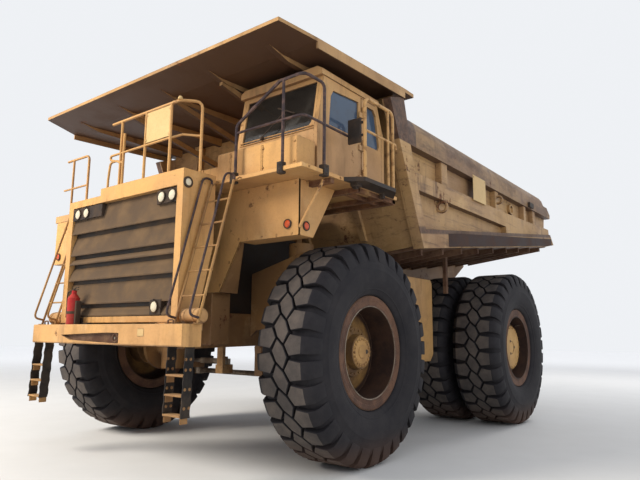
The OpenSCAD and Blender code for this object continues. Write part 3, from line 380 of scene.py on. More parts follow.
def window_glass(name):
    """Dark tinted cab glass with a film of dust."""
    f = Finish(name)
    film = f.step(f.noise(2.4, 6, 0.68), 0.46, 0.85)
    # Glass that faces sideways is painted pale blue as a painted sky reflection; glass that faces ahead
    # keeps the dark tint
    tint_and_sky_reflection = f.mix(f.step(f.math("ABSOLUTE", f.facing("X")), 0.5, 0.8), (46, 42, 38), (84, 104, 128))
    f.tone = f.mix(film, tint_and_sky_reflection, (84, 78, 70))
    return f.done(f.bump(f.noise(1.2, 2, 0.4), 0.004, 0.2), f.plus(0.04, f.times(film, 0.3)), 0.5,
                  IOR=1.45, Transmission_Weight=0.35)


def lens(name, tone):
    """Pressed lamp glass with its ribs."""
    f = Finish(name)
    f.tone = tone
    wave = f.add("TexWave", Vector=f.place, Scale=26, Distortion=0.4)
    dust = f.step(f.noise(18, 4, 0.7), 0.5, 0.8)
    f.cover((150, 124, 98), 0.35, dust)
    return f.done(f.bump(wave.outputs["Fac"], 0.004, 0.6), f.plus(0.12, f.times(dust, 0.4)), 0.5)


def floor_finish():
    """Matt pale floor."""
    f = Finish("pale_floor")
    f.tone = f.mix(f.noise(1.3, 5, 0.6), (214, 212, 208), (224, 222, 219))
    away = f.math("SQRT", f.plus(f.math("POWER", f.at("X"), 2.0), f.math("POWER", f.at("Y"), 2.0)))
    # Pale out to the horizon, where the lamps don't reach
    return f.done(f.bump(f.noise(30, 3), 0.002, 0.2), 0.9, 0.2, Emission_Color=(222, 223, 226),
                  Emission_Strength=f.times(f.step(away, 9, 34), 0.62))


PAINT = painted("front_paint", (214, 164, 98), (200, 152, 98), 0.35, 0.5, 0.35)
BODY_PAINT = painted("body_paint", (204, 158, 100), (186, 144, 100), 0.4, 0.6, 0.6)
BED_PAINT = painted("bed_paint", (186, 148, 98), (160, 126, 92), 0.5, 0.85, 0.9, True)
CANOPY_PAINT = painted("canopy_paint", (190, 148, 96), (160, 124, 86), 0.4, 0.8, 1.0)
FRAME_PAINT = painted("frame_paint", (150, 112, 70), (124, 92, 62), 0.7, 1.0, 0.8)
FRONT_RIM = rim_finish("front_rim_rust", middle_of("front_left_rim"))
REAR_RIM = rim_finish("rear_rim_rust", middle_of("rear_left_rims"))
BED_RUST = rusty("bed_rust", (86, 60, 46), (120, 92, 72), 0.1)
BLACK = dark_metal("black_paint", (38, 32, 29), (98, 78, 60))
RAILS = rail_finish("rail_black")
SLATS = dark_metal("slat_black", (84, 67, 50), (122, 98, 72), 0.7)
STEEL = bare_steel("greasy_steel", (84, 70, 58), (140, 126, 110))
# The engine's near-black tone is painted shade; the dust laid over it is real dust
ENGINE = dark_metal("engine_shade_and_dust", (30, 25, 22), (62, 48, 38), 0.6)
CHROME = bare_steel("rod_steel", (120, 112, 104), (176, 170, 162), 0.9)
TREAD = rubber("tread_rubber", (66, 61, 59), (104, 94, 86), 0.7)
SIDEWALL = rubber("sidewall_rubber", (29, 27, 31), (58, 54, 54), 0.45)
HOSE = rubber("hose_rubber", (30, 28, 28), (84, 72, 60), 0.6)
GLASS = window_glass("window_glass")
LAMP = lens("lamp_glass", (226, 214, 186))
AMBER = lens("amber_glass", (206, 84, 44))
UNDERSIDE = rusty("deck_underside", (88, 58, 42), (132, 92, 62), 0.35)
SIGN_PAINT = painted("sign_paint", (222, 190, 132), (206, 172, 118), 0.1, 0.3)
LADDER = painted("ladder_paint", (186, 142, 84), (150, 112, 72), 0.5, 0.7)
RUB_RAIL = dark_metal("rub_rail_steel", (54, 41, 38), (92, 68, 56), 0.65)
RED = painted("bottle_red", (172, 34, 34), (140, 30, 28), 0.2, 0.4)
HUB_PAINT = painted("hub_paint", (196, 152, 88), (170, 128, 78), 0.5, 0.6)

# A name with {} stands for the left and the right node
NODE_FINISH = {
    PAINT: ["bumper", "radiator_guard", "cab_deck", "fender_boxes", "ladders", "deck_rails"],
    BODY_PAINT: ["deck_plates", "side_tanks", "air_cleaners", "cab_sides", "cab_ends", "cab_roof",
                 "cab_door"],
    BED_PAINT: ["bed_sides", "bed_front_wall"],
    CANOPY_PAINT: ["bed_canopy"],
    FRAME_PAINT: ["frame", "rear_axle", "front_struts", "front_{}_knuckle", "bed_beams"],
    FRONT_RIM: ["front_{}_rim"],
    REAR_RIM: ["rear_{}_rims"],
    RAILS: ["cab_rails"],
    BED_RUST: ["bed_floor", "rock_ejectors"],
    BLACK: ["radiator", "step_platform", "cab_floor", "cab_interior", "mirrors"],
    SLATS: ["radiator_shutters"],
    ENGINE: ["engine"],
    STEEL: ["driveline", "rear_struts", "tie_rod", "steer_{}_barrel", "hoist_{}_barrel"],
    CHROME: ["steer_{}_rod", "hoist_{}_sleeve", "hoist_{}_ram"],
    SIDEWALL: ["front_{}_tyre", "rear_{}_tyres"],
    GLASS: ["cab_glass", "door_glass"],
    LAMP: ["headlamps"],
    AMBER: ["amber_lamps"],
    RED: ["extinguisher"],
}


def finish_nodes():
    for finish, names in NODE_FINISH.items():
        for name in {name.format(side) for name in names for side in ("left", "right")}:
            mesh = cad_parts[name].data
            if not mesh.materials:
                mesh.materials.append(finish)
            for index in range(len(mesh.materials)):
                mesh.materials[index] = finish


# Building shapes

def circle(centre, side, up, radius, steps):
    """Points round a centre, from side towards up."""
    turns = [math.tau * k / steps for k in range(steps)]
    return [centre + radius * (side * math.cos(turn) + up * math.sin(turn)) for turn in turns]


class Shape:
    """Points and faces of one piece, gathered before its object is made."""

    def __init__(self):
        self.points = []
        self.faces = []
        self.finishes = []

    def add(self, points, faces, finish=0):
        start = len(self.points)
        self.points += [Vector(p) for p in points]
        self.faces += [[start + i for i in face] for face in faces]
        self.finishes += [finish] * len(faces)

    def loft(self, rings, finish=0, caps=True, closed=False):
        """A skin over rings of equally many points. Closed joins the last ring to the first."""
        n = len(rings[0])
        count = len(rings) if closed else len(rings) - 1
        faces = []
        for i in range(count):
            a = i * n
            b = (i + 1) % len(rings) * n
            faces += [[a + k, a + (k + 1) % n, b + (k + 1) % n, b + k] for k in range(n)]
        if caps and not closed:
            faces.append(list(range(n - 1, -1, -1)))
            faces.append([(len(rings) - 1) * n + k for k in range(n)])
        self.add([p for ring in rings for p in ring], faces, finish)

    def lathe(self, outline, centre, axis, steps=32, finish=0, closed=False):
        """An outline of (radius, distance along the axis) turned round the axis."""
        axis = Vector(axis).normalized()
        side = axis.orthogonal().normalized()
        up = axis.cross(side)
        rings = [circle(Vector(centre) + axis * along, side, up, radius, steps) for radius, along in outline]
        self.loft(rings, finish, caps=not closed, closed=closed)

    def tube(self, path, radius, sides=10, finish=0):
        """A round bar swept along a path."""
        path = [Vector(p) for p in path]
        rings = []
        side = None
        for i, point in enumerate(path):
            before = path[max(i - 1, 0)]
            after = path[min(i + 1, len(path) - 1)]
            ahead = (after - before).normalized()
            if side is None:
                side = ahead.orthogonal().normalized()
            side = (side - ahead * side.dot(ahead)).normalized()
            rings.append(circle(point, side, ahead.cross(side), radius, sides))
        self.loft(rings, finish)

    def block(self, low, high, edge=0.004, finish=0):
        """A box from its lowest to its highest corner, its upright edges and rims cut off."""
        low, high = Vector(low), Vector(high)
        e = min(edge, *((high - low) * 0.45))
        rings = []
        for z, inset in ((low.z, e), (low.z + e, 0), (high.z - e, 0), (high.z, e)):
            x0, x1, y0, y1 = low.x + inset, high.x - inset, low.y + inset, high.y - inset
            rings.append([Vector(p) for p in (
                (x0 + e, y0, z), (x1 - e, y0, z), (x1, y0 + e, z), (x1, y1 - e, z),
                (x1 - e, y1, z), (x0 + e, y1, z), (x0, y1 - e, z), (x0, y0 + e, z))])
        self.loft(rings, finish)

    def prism(self, outline, depth, finish=0, edge=0.0):
        """A flat outline of points, pushed along a vector, its far rim cut off by edge."""
        outline = [Vector(p) for p in outline]
        depth = Vector(depth)
        middle = sum(outline, Vector()) / len(outline)
        rings = [outline, [p + depth for p in outline]]
        if edge:
            rings[1] = [p + depth * (1 - edge / depth.length) for p in outline]
            rings.append([p + depth + (middle - p).normalized() * edge for p in outline])
        self.loft(rings, finish)

    def bolt(self, at, out, radius=0.018, height=0.014, washer=True, finish=0):
        """A hexagon head with a washer under it, standing on at and facing out."""
        out = Vector(out).normalized()
        at = Vector(at)
        if washer:
            self.lathe([(radius * 1.45, -0.003), (radius * 1.45, height * 0.25)], at, out, 12, finish)
        self.lathe([(radius, 0), (radius, height * 0.8), (radius * 0.82, height)], at, out, 6, finish)

    def bolts(self, xs, ys, zs, out, radius, height=0.014):
        """A bolt at every crossing of the given places."""
        for x in xs:
            for y in ys:
                for z in zs:
                    self.bolt((x, y, z), out, radius, height)

    def bolt_row(self, start, end, count, out, radius=0.014):
        start, end = Vector(start), Vector(end)
        for k in range(count):
            self.bolt(start.lerp(end, k / (count - 1)), out, radius, radius * 0.8)


def make(name, shape, finishes, body=ROOT, angle=32):
    """Turns a shape into an object that rides on a body, with the given finishes in order."""
    mesh = bpy.data.meshes.new(name)
    mesh.from_pydata(shape.points, [], shape.faces)
    outward = bmesh.new()
    outward.from_mesh(mesh)
    bmesh.ops.recalc_face_normals(outward, faces=outward.faces)
    outward.to_mesh(mesh)
    outward.free()
    for finish in finishes:
        mesh.materials.append(finish)
    mesh.polygons.foreach_set("material_index", shape.finishes)
    mesh.shade_smooth()
    mesh.set_sharp_from_angle(angle=math.radians(angle))
    mesh.update()
    piece = placed(name, mesh)
    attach(piece, body)
    return piece


# Tyres

TYRE_PITCHES = 31
TYRE_R = (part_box("front_left_tyre")[1].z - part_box("front_left_tyre")[0].z) / 2
TYRE_HALF = 0.468
TREAD_HALF = 0.337
GROOVE = 0.022
LUG_DEPTH = 0.062
EDGE_CUT = 0.008
# Carcass outline under the lugs, as (radius, distance from the tyre's middle), from bead to crown
CARCASS = [
    (0.6483, 0.327), (0.783, 0.327), (0.790, 0.366), (0.806, 0.386), (0.84, 0.402), (0.86, 0.414),
    (0.868, 0.424), (0.884, 0.424), (0.892, 0.430), (0.97, 0.452), (1.06, 0.466), (1.12, 0.4665),
    (1.128, 0.4675), (1.14, 0.4675), (1.148, 0.464), (1.20, 0.461), (1.24, 0.454), (1.30, 0.436),
    (1.36, 0.405), (1.41, 0.37), (1.435, 0.31), (1.446, 0.15),
]
# Centre block, as (share of the tread's half width, share of a pitch)
HEXAGON = [(-0.17, -0.635), (0.17, -0.365), (0.41, 0.135), (0.17, 0.635), (-0.17, 0.365),
           (-0.41, -0.135)]
# Shoulder lug, as (distance from the middle, radius, depth, half length as a share of a pitch)
LUG_STATIONS = [
    (0.078, 1.510, 0.07, 0.06), (0.155, 1.510, 0.07, 0.465), (0.25, 1.510, 0.07, 0.42),
    (0.330, 1.509, 0.07, 0.385), (0.346, 1.503, 0.07, 0.382), (0.408, 1.462, 0.07, 0.385),
    (0.434, 1.392, 0.06, 0.388), (0.449, 1.315, 0.03, 0.392), (0.4545, 1.255, 0.012, 0.40),
]


def tyre_point(centre, offset, radius, turn):
    """A point of a tyre: its offset along X, radius, and turn from the front, downwards."""
    return centre + Vector((offset, -radius * math.cos(turn), -radius * math.sin(turn)))


def tyre_shape(shape, centre, flip):
    """One tyre: its carcass, a row of centre blocks and two rows of shoulder lugs."""
    pitch = math.tau / TYRE_PITCHES
    steps = TYRE_PITCHES * 4
    outline = CARCASS + [(r, -x) for r, x in reversed(CARCASS)]
    rings = [[tyre_point(centre, x, r, math.tau * k / steps) for k in range(steps)]
             for r, x in outline]
    shape.loft(rings, 1, caps=False, closed=True)
    arc = TYRE_R * pitch
    for i in range(TYRE_PITCHES):
        # Centre block
        rings = []
        for radius, inset in ((TYRE_R - LUG_DEPTH - 0.01, GROOVE * 0.4), (TYRE_R - EDGE_CUT, GROOVE / 2),
                              (TYRE_R, GROOVE / 2 + EDGE_CUT)):
            ring = []
            for u, v in HEXAGON:
                across = u * TREAD_HALF
                share = 1 - inset * 1.25 / math.hypot(across, v * arc)
                ring.append(tyre_point(centre, flip * across * share, radius, (i + v * share) * pitch))
            rings.append(ring if flip > 0 else ring[::-1])
        top = len(shape.points) + 2 * len(HEXAGON)
        shape.loft(rings, 1, caps=False)
        shape.points.append(tyre_point(centre, 0, TYRE_R + 0.001, i * pitch))
        hub = len(shape.points) - 1
        for k in range(6):
            shape.faces.append([top + k, top + (k + 1) % 6, hub])
            shape.finishes.append(0)
        # Shoulder lugs, the far side's shifted as the centre blocks' corners are
        for side in (1, -1):
            middle = 0.635 if side > 0 else 0.365
            lug(shape, centre, side * flip, (i + middle) * pitch, pitch)


def lug(shape, centre, side, turn, pitch):
    """A shoulder lug, from the tread's middle out and down over the sidewall."""
    cut = EDGE_CUT / (TYRE_R * pitch)
    rings = []
    for offset, radius, depth, half in LUG_STATIONS:
        half = half - GROOVE / (2 * TYRE_R * pitch)
        floor = max(radius - depth, 1.0)
        sink = max(offset - depth * 0.35, 0.02) if offset > 0.4 else offset
        ring = [(sink, floor, -half), (offset, radius - EDGE_CUT, -half),
                (offset, radius, -half + cut), (offset, radius, 0.0), (offset, radius, half - cut),
                (offset, radius - EDGE_CUT, half), (sink, floor, half)]
        points = [tyre_point(centre, side * x, r, turn + v * pitch) for x, r, v in ring]
        rings.append(points if side > 0 else points[::-1])
    n = len(rings[0])
    start = len(shape.faces)
    shape.loft(rings, 1)
    # The worn road face is the top of the first stretches
    for i in range(3):
        for k in (2, 3):
            shape.finishes[start + i * n + k] = 0


def make_tyres():
    for kind in ("front_left_{}", "front_right_{}", "rear_left_{}s", "rear_right_{}s"):
        node = kind.format("tyre")
        low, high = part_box(node)
        middle = middle_of(node)
        places = [middle.x] if node.startswith("front") else [low.x + TYRE_HALF, high.x - TYRE_HALF]
        shape = Shape()
        for x in places:
            tyre_shape(shape, Vector((x, middle.y, middle.z)), 1 if middle.x > 0 else -1)
        tread = make(node + "_tread", shape, [TREAD, SIDEWALL], kind.format("wheel"), 40)
        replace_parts(tread, node)


# Ladders, plates and lamps

def bent(points, radius, steps=5):
    """A path with its corners rounded."""
    points = [Vector(p) for p in points]
    path = [points[0]]
    for before, at, after in zip(points, points[1:], points[2:]):
        start = at + (before - at).normalized() * min(radius, (before - at).length * 0.48)
        end = at + (after - at).normalized() * min(radius, (after - at).length * 0.48)
        path += [start * (1 - k / steps) ** 2 + at * (2 * k / steps * (1 - k / steps))
                 + end * (k / steps) ** 2 for k in range(steps + 1)]
    return path + [points[-1]]


BUMPER_LOW, BUMPER_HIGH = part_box("bumper")
DECK_TOP = 3.8
DECK_LOW = 3.74
DECK_FRONT = -4.74
LADDER_INNER = 1.425
LADDER_OUTER = {1: 1.851, -1: 1.82}
RUNG_PITCH = 0.313
BELTS = (1.46, 1.785)
BELT_LOW = 0.79
BELT_HALF = 0.007
STEPS = (0.812, 1.037, 1.262)


def ladder_y(z):
    """How far back a ladder's rail stands at a height."""
    return BUMPER_LOW.y + 0.178 + 0.27 * (z - 1.95)


def make_ladders():
    """Ladders with a hand rail before each of their rails, and belts with steps under the bumper."""
    shape = Shape()
    top = BUMPER_HIGH.z
    for s in (1, -1):
        rails = (LADDER_INNER * s, LADDER_OUTER[s] * s)
        for x in rails:
            def on_rail(z, ahead=0.0):
                return (x, ladder_y(z) - ahead, z)
            shape.tube([on_rail(top), on_rail(3.71)], 0.017)
            loop = [on_rail(3.66), on_rail(3.78), on_rail(3.78, 0.165), on_rail(1.96, 0.165), on_rail(1.93)]
            shape.tube(bent(loop, 0.085), 0.0155, 10, 1 if s > 0 else 0)
            shape.tube([on_rail(3.68), (x, DECK_FRONT - 0.03, 3.765), (x, DECK_FRONT + 0.002, 3.765)], 0.011)
            shape.block((x - 0.03, ladder_y(top) - 0.05, top),
                        (x + 0.03, ladder_y(top) + 0.05, top + 0.012))
        for i in range(5):
            z = 2.2 + RUNG_PITCH * i
            shape.tube([(min(rails) - 0.02, ladder_y(z), z), (max(rails) + 0.02, ladder_y(z), z)], 0.013)
        # Rubber belts with wavy front edges, steps between them and bolts through them
        rise = BUMPER_LOW.z + 0.003 - BELT_LOW

        def belt_front(z):
            return BUMPER_LOW.y + 0.012 + 0.036 * (z - BELT_LOW) / rise
        for x in (BELTS[0] * s, BELTS[1] * s):
            rings = []
            for k in range(17):
                z = BELT_LOW + rise * k / 16
                y = belt_front(z) + 0.006 * math.sin(k * 1.9 + x)
                rings.append([(x - BELT_HALF, y, z), (x + BELT_HALF, y, z), (x + BELT_HALF, y + 0.13, z),
                              (x - BELT_HALF, y + 0.13, z)])
            shape.loft(rings, 2)
            shape.bolts([x + BELT_HALF * s], (BUMPER_LOW.y + 0.055, BUMPER_LOW.y + 0.125),
                        (0.9, 1.11, 1.33, 1.45), (s, 0, 0), 0.013, 0.01)
        left, right = sorted(((BELTS[0] - BELT_HALF) * s, (BELTS[1] - BELT_HALF) * s))
        for z in STEPS:
            y = belt_front(z)
            shape.block((left + 0.01, y - 0.004, z - 0.014), (right - 0.002, y + 0.124, z + 0.01), 0.003)
            for x in (left + 0.017, right - 0.012):
                shape.block((x - 0.005, y + 0.01, z - 0.09), (x + 0.005, y + 0.12, z - 0.008), 0.002)
    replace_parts(make("ladder_set", shape, [LADDER, RAILS, HOSE]), "ladders")


FENDER_Y = -4.34
FENDER_X = 2.51
FENDER_SHEET = 0.02
FENDER_LOW = 3.0
FENDER_OUTLINE = [(0.702, 2.32), (1.066, 2.32), (1.449, FENDER_LOW), (FENDER_X, FENDER_LOW),
                  (FENDER_X, DECK_LOW), (0.702, DECK_LOW)]


def make_fenders():
    """Plates that stand back under the deck, with a box flush with the right deck's front edge."""
    shape = Shape()
    start, inner, low = FENDER_Y + 0.001, FENDER_X - FENDER_SHEET, FENDER_LOW
    for s in (1, -1):
        def flip(points):
            points = [(x * s, y, z) for x, y, z in points]
            return points if s > 0 else points[::-1]
        shape.prism(flip([(x, FENDER_Y, z) for x, z in FENDER_OUTLINE]), (0, 0.03, 0))
        # Turned edge along the slant, and the stay's box on the frame, both in the darker frame paint as
        # painted shade
        shape.loft([flip([(1.066, start, 2.32), (1.05, start, 2.33),
                          (1.05, -3.98, 2.33), (1.066, -3.98, 2.32)]),
                    flip([(1.449, start, low), (1.43, start, 3.01),
                          (1.43, -4.25, 3.01), (1.449, -4.25, low)])], 1)
        low_x, high_x = sorted((0.7 * s, 0.925 * s))
        shape.block((low_x, FENDER_Y, 1.581), (high_x, -3.981, 2.33), 0.008, 1)
        # Side, underside and slanted back of the box
        shape.prism(flip([(FENDER_X, start, low), (FENDER_X, -4.038, low), (FENDER_X, -3.558, DECK_LOW),
                          (FENDER_X, start, DECK_LOW)]), (-FENDER_SHEET * s, 0, 0))
        shape.prism(flip([(1.449, FENDER_Y + 0.03, low), (1.449, -4.04, low), (inner, -4.04, low),
                          (inner, FENDER_Y + 0.03, low)]), (0, 0, FENDER_SHEET))
        shape.prism(flip([(1.6, -4.05, low + FENDER_SHEET), (1.6, -3.57, DECK_LOW), (inner, -3.57, DECK_LOW),
                          (inner, -4.05, low + FENDER_SHEET)]), (0, -0.02, 0.012))
        # Stay up to the deck's outer edge
        shape.tube([(FENDER_X * s, FENDER_Y + 0.02, 3.1), (2.83 * s, -4.24, 3.69)], 0.02, 8)
        shape.bolt_row((1.6 * s, FENDER_Y, 3.03), (2.4 * s, FENDER_Y, 3.03), 4, FRONT, 0.012)
        shape.bolt_row((1.08 * s, FENDER_Y, 2.42), (1.426 * s, FENDER_Y, 3.04), 3, FRONT, 0.012)
        shape.bolts([x * s for x in (1.2, 1.6, 2.05, 2.45)], [FENDER_Y], [3.69], FRONT, 0.013)
    shape.block((-2.83, DECK_FRONT, 2.918), (-1.5, FENDER_Y, 3.679), 0.006)
    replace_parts(make("fender_plates", shape, [PAINT, FRAME_PAINT]), "fender_boxes")


def lamp(shape, at, out, radius, glass=0, ring=1):
    """A round lamp in a ring, its lens crowned."""
    shape.lathe([(radius + 0.014, -0.002), (radius + 0.014, 0.02), (radius + 0.004, 0.024),
                 (radius, 0.012)], at, out, 28, ring)
    shape.lathe([(radius + 0.002, 0.0), (radius + 0.002, 0.012), (radius * 0.8, 0.022),
                 (radius * 0.4, 0.029), (0.002, 0.031)], at, out, 28, glass)


# Black plates behind the front lamps, as (low x, low z, high x, high z)
LAMP_PLATES = [(-1.245, 3.44, -0.46, 3.625), (0.856, 3.43, 1.256, 3.615), (-1.236, 1.975, -1.044, 2.175),
               (0.824, 1.975, 1.05, 2.175)]
HEADLAMPS = [(-1.105, 3.53), (-0.876, 3.53), (0.954, 3.522), (1.178, 3.522), (-1.141, 2.08),
             (0.921, 2.08)]
GUARD_LAMP = (1.385, -5.229, 3.674)


def make_lamps():
    """Lamps in the guard's front and side, and amber ones on the plates under the deck."""
    shape = Shape()
    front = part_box("headlamps")[1].y
    for x, z in HEADLAMPS:
        lamp(shape, (x, front, z), FRONT, 0.068)
        shape.tube([(x, front - 0.02, z + 0.085), (x, front - 0.02, z + 0.1)], 0.012, 6, 1)
    for x0, z0, x1, z1 in LAMP_PLATES:
        shape.block((x0, front - 0.004, z0), (x1, front, z1), 0.002, 1)
        for x in (x0 + 0.02, x1 - 0.02):
            shape.bolt((x, front - 0.004, (z0 + z1) / 2), FRONT, 0.01, 0.008, False, 1)
    lamp(shape, GUARD_LAMP, LEFT, 0.05)
    shape.lathe([(0.075, -0.002), (0.075, 0.014), (0.05, 0.016)], GUARD_LAMP, LEFT, 24, 1)
    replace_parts(make("front_lamps", shape, [LAMP, BLACK]), "headlamps")
    shape = Shape()
    for at, out in (((2.331, FENDER_Y, 3.157), FRONT), ((FENDER_X, -4.194, 3.133), LEFT),
                    ((-2.68, DECK_FRONT, 3.055), FRONT), ((-2.83, -4.56, 3.06), (-1, 0, 0))):
        lamp(shape, at, out, 0.05)
    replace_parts(make("side_lamps", shape, [AMBER, BLACK]), "amber_lamps")


# Bumper, deck and what stands on them

# Slot in the bumper's face and the face's outline round it, as matching (x, z)
SLOT = [(-0.938, 1.707), (0.098, 1.742), (0.30, 1.744), (0.490, 1.74), (0.490, 1.616), (0.387, 1.612),
        (-0.2, 1.628), (-0.709, 1.646)]
FACE = [(-1.766, 1.846), (-0.3, 1.846), (0.6, 1.846), (1.766, 1.846), (1.766, 1.605), (0.6, 1.605),
        (-0.3, 1.605), (-1.766, 1.605)]
# Air drum, as (radius, distance along it)
DRUM = [(0.002, 0), (0.07, 0.006), (0.092, 0.03), (0.092, 0.1), (0.098, 0.104), (0.098, 0.12),
        (0.092, 0.124), (0.092, 0.26), (0.098, 0.264), (0.098, 0.28), (0.092, 0.284), (0.092, 0.35),
        (0.07, 0.374), (0.002, 0.38)]


def make_bumper():
    """Bumper with its slot and tow eye, a bare tag on it, and the air drums behind it."""
    low, high = BUMPER_LOW, BUMPER_HIGH
    shape = Shape()

    def ring(outline, y):
        return [(x, y, z) for x, z in outline]

    def grown(x_end, y):
        return [(math.copysign(x_end, x) if abs(x) > 1.7 else x, y, high.z if z > 1.7 else low.z)
                for x, z in FACE]
    slot_lip = [(x * 1.004, z + (0.003 if z > 1.7 else -0.003)) for x, z in SLOT]
    shape.loft([ring(SLOT, low.y + 0.05), ring(SLOT, low.y + 0.006)], 1, caps=False)
    shape.add(ring(SLOT, low.y + 0.05), [list(range(8))], 1)
    shape.loft([ring(SLOT, low.y + 0.006), ring(slot_lip, low.y), ring(FACE, low.y),
                grown(1.772, low.y + 0.012), grown(high.x, low.y + 0.06), grown(high.x, high.y)],
               caps=False)
    shape.add(grown(high.x, high.y), [list(range(7, -1, -1))])
    # Tow eye at the slot's right end, in its worn pad
    at = Vector((0.39, low.y + 0.045, 1.678))
    shape.lathe([(0.075, 0), (0.075, 0.02), (0.066, 0.03), (0.05, 0.03), (0.042, 0.012), (0.002, 0.01)],
                at, FRONT, 28, 1)
    shape.lathe([(0.016, 0.008), (0.016, 0.03), (0.002, 0.034)], at, FRONT, 12, 2)
    # Lifting loops on top, and the feet's bolts
    for x in (-1.482, 1.482):
        shape.tube(bent([(x - 0.05, low.y + 0.05, high.z - 0.004), (x - 0.05, low.y + 0.05, high.z + 0.05),
                         (x + 0.05, low.y + 0.05, high.z + 0.05), (x + 0.05, low.y + 0.05, high.z - 0.004)],
                        0.03), 0.011, 8, 1)
    shape.bolts((-1.19, -1.01, 1.01, 1.19), [low.y + 0.205], [high.z], UP, 0.02)
    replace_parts(make("front_bumper", shape, [PAINT, BED_RUST, STEEL]), "bumper")

    plate = Shape()
    plate.block((0.90, low.y - 0.003, 1.705), (1.03, low.y, 1.80), 0.002)
    make("blank_tag", plate, [SIGN_PAINT])
    drums = Shape()
    for s in (1, -1):
        drums.lathe(DRUM, (1.40 * s, high.y + 0.065, high.z + 0.1), (s, 0, 0), 28)
        for x in (1.50 * s, 1.68 * s):
            drums.block((x - 0.025, high.y - 0.002, high.z - 0.08),
                        (x + 0.025, high.y + 0.12, high.z + 0.012), 0.004)
    make("air_drums", drums, [BODY_PAINT])


def make_deck():
    """The cab's deck with the boxes ahead of the windscreen, and rusty beams below."""
    shape = Shape()
    shape.block((1.1005, DECK_FRONT, DECK_LOW), (2.89, -2.5, DECK_TOP), 0.005)
    shape.block((1.24, -4.614, DECK_TOP - 0.002), (2.7, -4.25, 4.22), 0.01)
    shape.block((0.9, -4.59, DECK_TOP - 0.002), (1.241, -4.25, 4.06), 0.008)
    # Frame round the low box's end, seams and bolts of the large one
    shape.block((0.894, -4.6, DECK_TOP), (0.93, -4.588, 4.064), 0.003)
    for x in (1.5, 2.1):
        shape.block((x - 0.02, -4.617, 3.83), (x + 0.02, -4.612, 4.19), 0.002)
    shape.bolts((1.52, 2.12, 2.66), [-4.617], (3.88, 4.14), FRONT, 0.011, 0.009)
    # Sill strips under the windscreen
    for z in (4.44, 4.475):
        shape.block((1.27, -4.222, z - 0.008), (2.63, -4.208, z + 0.008), 0.003)
    for y in (-4.1, -3.5, -2.9, -2.56):
        shape.block((1.11, y - 0.04, DECK_LOW - 0.07), (2.87, y + 0.04, DECK_LOW + 0.001), 0.004, 1)
    for x in (2.6, 2.84):
        shape.block((x - 0.03, -3.5, DECK_LOW - 0.06), (x + 0.03, -2.52, DECK_LOW + 0.001), 0.004, 1)
    shape.bolt_row((2.89, -4.6, 3.77), (2.89, -3.95, 3.77), 3, LEFT, 0.013)
    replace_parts(make("cab_deck_plate", shape, [PAINT, UNDERSIDE]), "cab_deck")
    # Black clamps that hold the rails' posts
    clamps = Shape()
    for x in (1.698, 2.535):
        clamps.block((x - 0.045, DECK_FRONT - 0.02, 3.71), (x + 0.045, DECK_FRONT + 0.064, 3.86), 0.006)
    clamps.bolts((1.698, 2.535), [DECK_FRONT - 0.02], (3.745, 3.825), FRONT, 0.015)
    clamps.block((2.82, -4.33, 3.72), (2.915, -4.23, 3.87), 0.006)
    clamps.bolts([2.915], [-4.28], (3.75, 3.84), LEFT, 0.015)
    clamps.block((2.88, -3.72, 3.70), (3.0, -3.6, 3.83), 0.008)
    make("post_clamps", clamps, [BLACK])


def make_fittings():
    """Blank sign on the rail, bottle's valve and strap, beams under the canopy, wiper."""
    sign = Shape()
    sign.block((0.49, -5.282, 4.36), (1.012, -5.274, 4.80), 0.003)
    sign.bolts((0.5, 1.0), [-5.282], (4.40, 4.76), FRONT, 0.012, 0.008)
    sign.lathe([(0.03, 0), (0.034, 0.02), (0.02, 0.045), (0.002, 0.05)], (1.206, -5.275, 4.83), UP, 16)
    make("blank_sign", sign, [SIGN_PAINT])

    low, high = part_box("extinguisher")
    x, y = middle_of("extinguisher").xy

    def by_top(across, back, above):
        return (x + across, y + back, high.z + above)
    valve = Shape()
    valve.lathe([(0.086, 0), (0.089, 0.004), (0.089, 0.036), (0.086, 0.04)], (x, y, low.z + 0.15), UP, 32)
    valve.lathe([(0.02, 0), (0.02, 0.03), (0.012, 0.035)], by_top(0, 0, -0.004), UP, 16)
    valve.tube(bent([by_top(0, 0, 0.02), by_top(0.05, 0, 0.05), by_top(0.11, 0, 0.045)], 0.03), 0.009, 8)
    valve.tube([by_top(-0.01, 0, 0.015), by_top(0.10, 0, 0.012)], 0.008, 8)
    hose = [by_top(0, -0.02, 0), by_top(-0.09, -0.05, -0.02), by_top(-0.115, -0.04, -0.16),
            by_top(-0.095, -0.03, -0.28)]
    valve.tube(bent(hose, 0.05), 0.011, 8)
    valve.block((x + 0.088, y - 0.03, low.z + 0.002), (x + 0.13, y + 0.05, low.z + 0.34), 0.006)
    valve.block((x - 0.12, y + 0.08, low.z - 0.002), (x + 0.12, y + 0.1, low.z + 0.1), 0.004)
    make("extinguisher_fittings", valve, [BLACK])

    beams = Shape()
    for x in (-1.1, 0.0, 1.1):
        outline = ((-4.48, 5.43), (-4.48, 5.345), (-2.364, 4.89), (-2.357, 4.99))
        beams.prism([(x - 0.03, y, z) for y, z in outline], (0.06, 0, 0))
    make("canopy_beams", beams, [CANOPY_PAINT], "bed")

    wiper = Shape()
    wiper.lathe([(0.03, 0), (0.03, 0.03), (0.018, 0.045)], (1.72, -4.212, 4.47), FRONT, 16)
    wiper.tube([(1.72, -4.25, 4.47), (1.92, -4.232, 4.62), (2.14, -4.205, 4.80)], 0.008, 8)
    wiper.tube([(1.98, -4.19, 4.87), (2.30, -4.205, 4.72)], 0.009, 6)
    make("wiper", wiper, [BLACK])


# Bed sides

# Foot of the bed's side, seen from the side as (y, z)
BED_FOOT = [(-1.68, 3.116), (4.76, 3.941), (5.55, 4.085)]
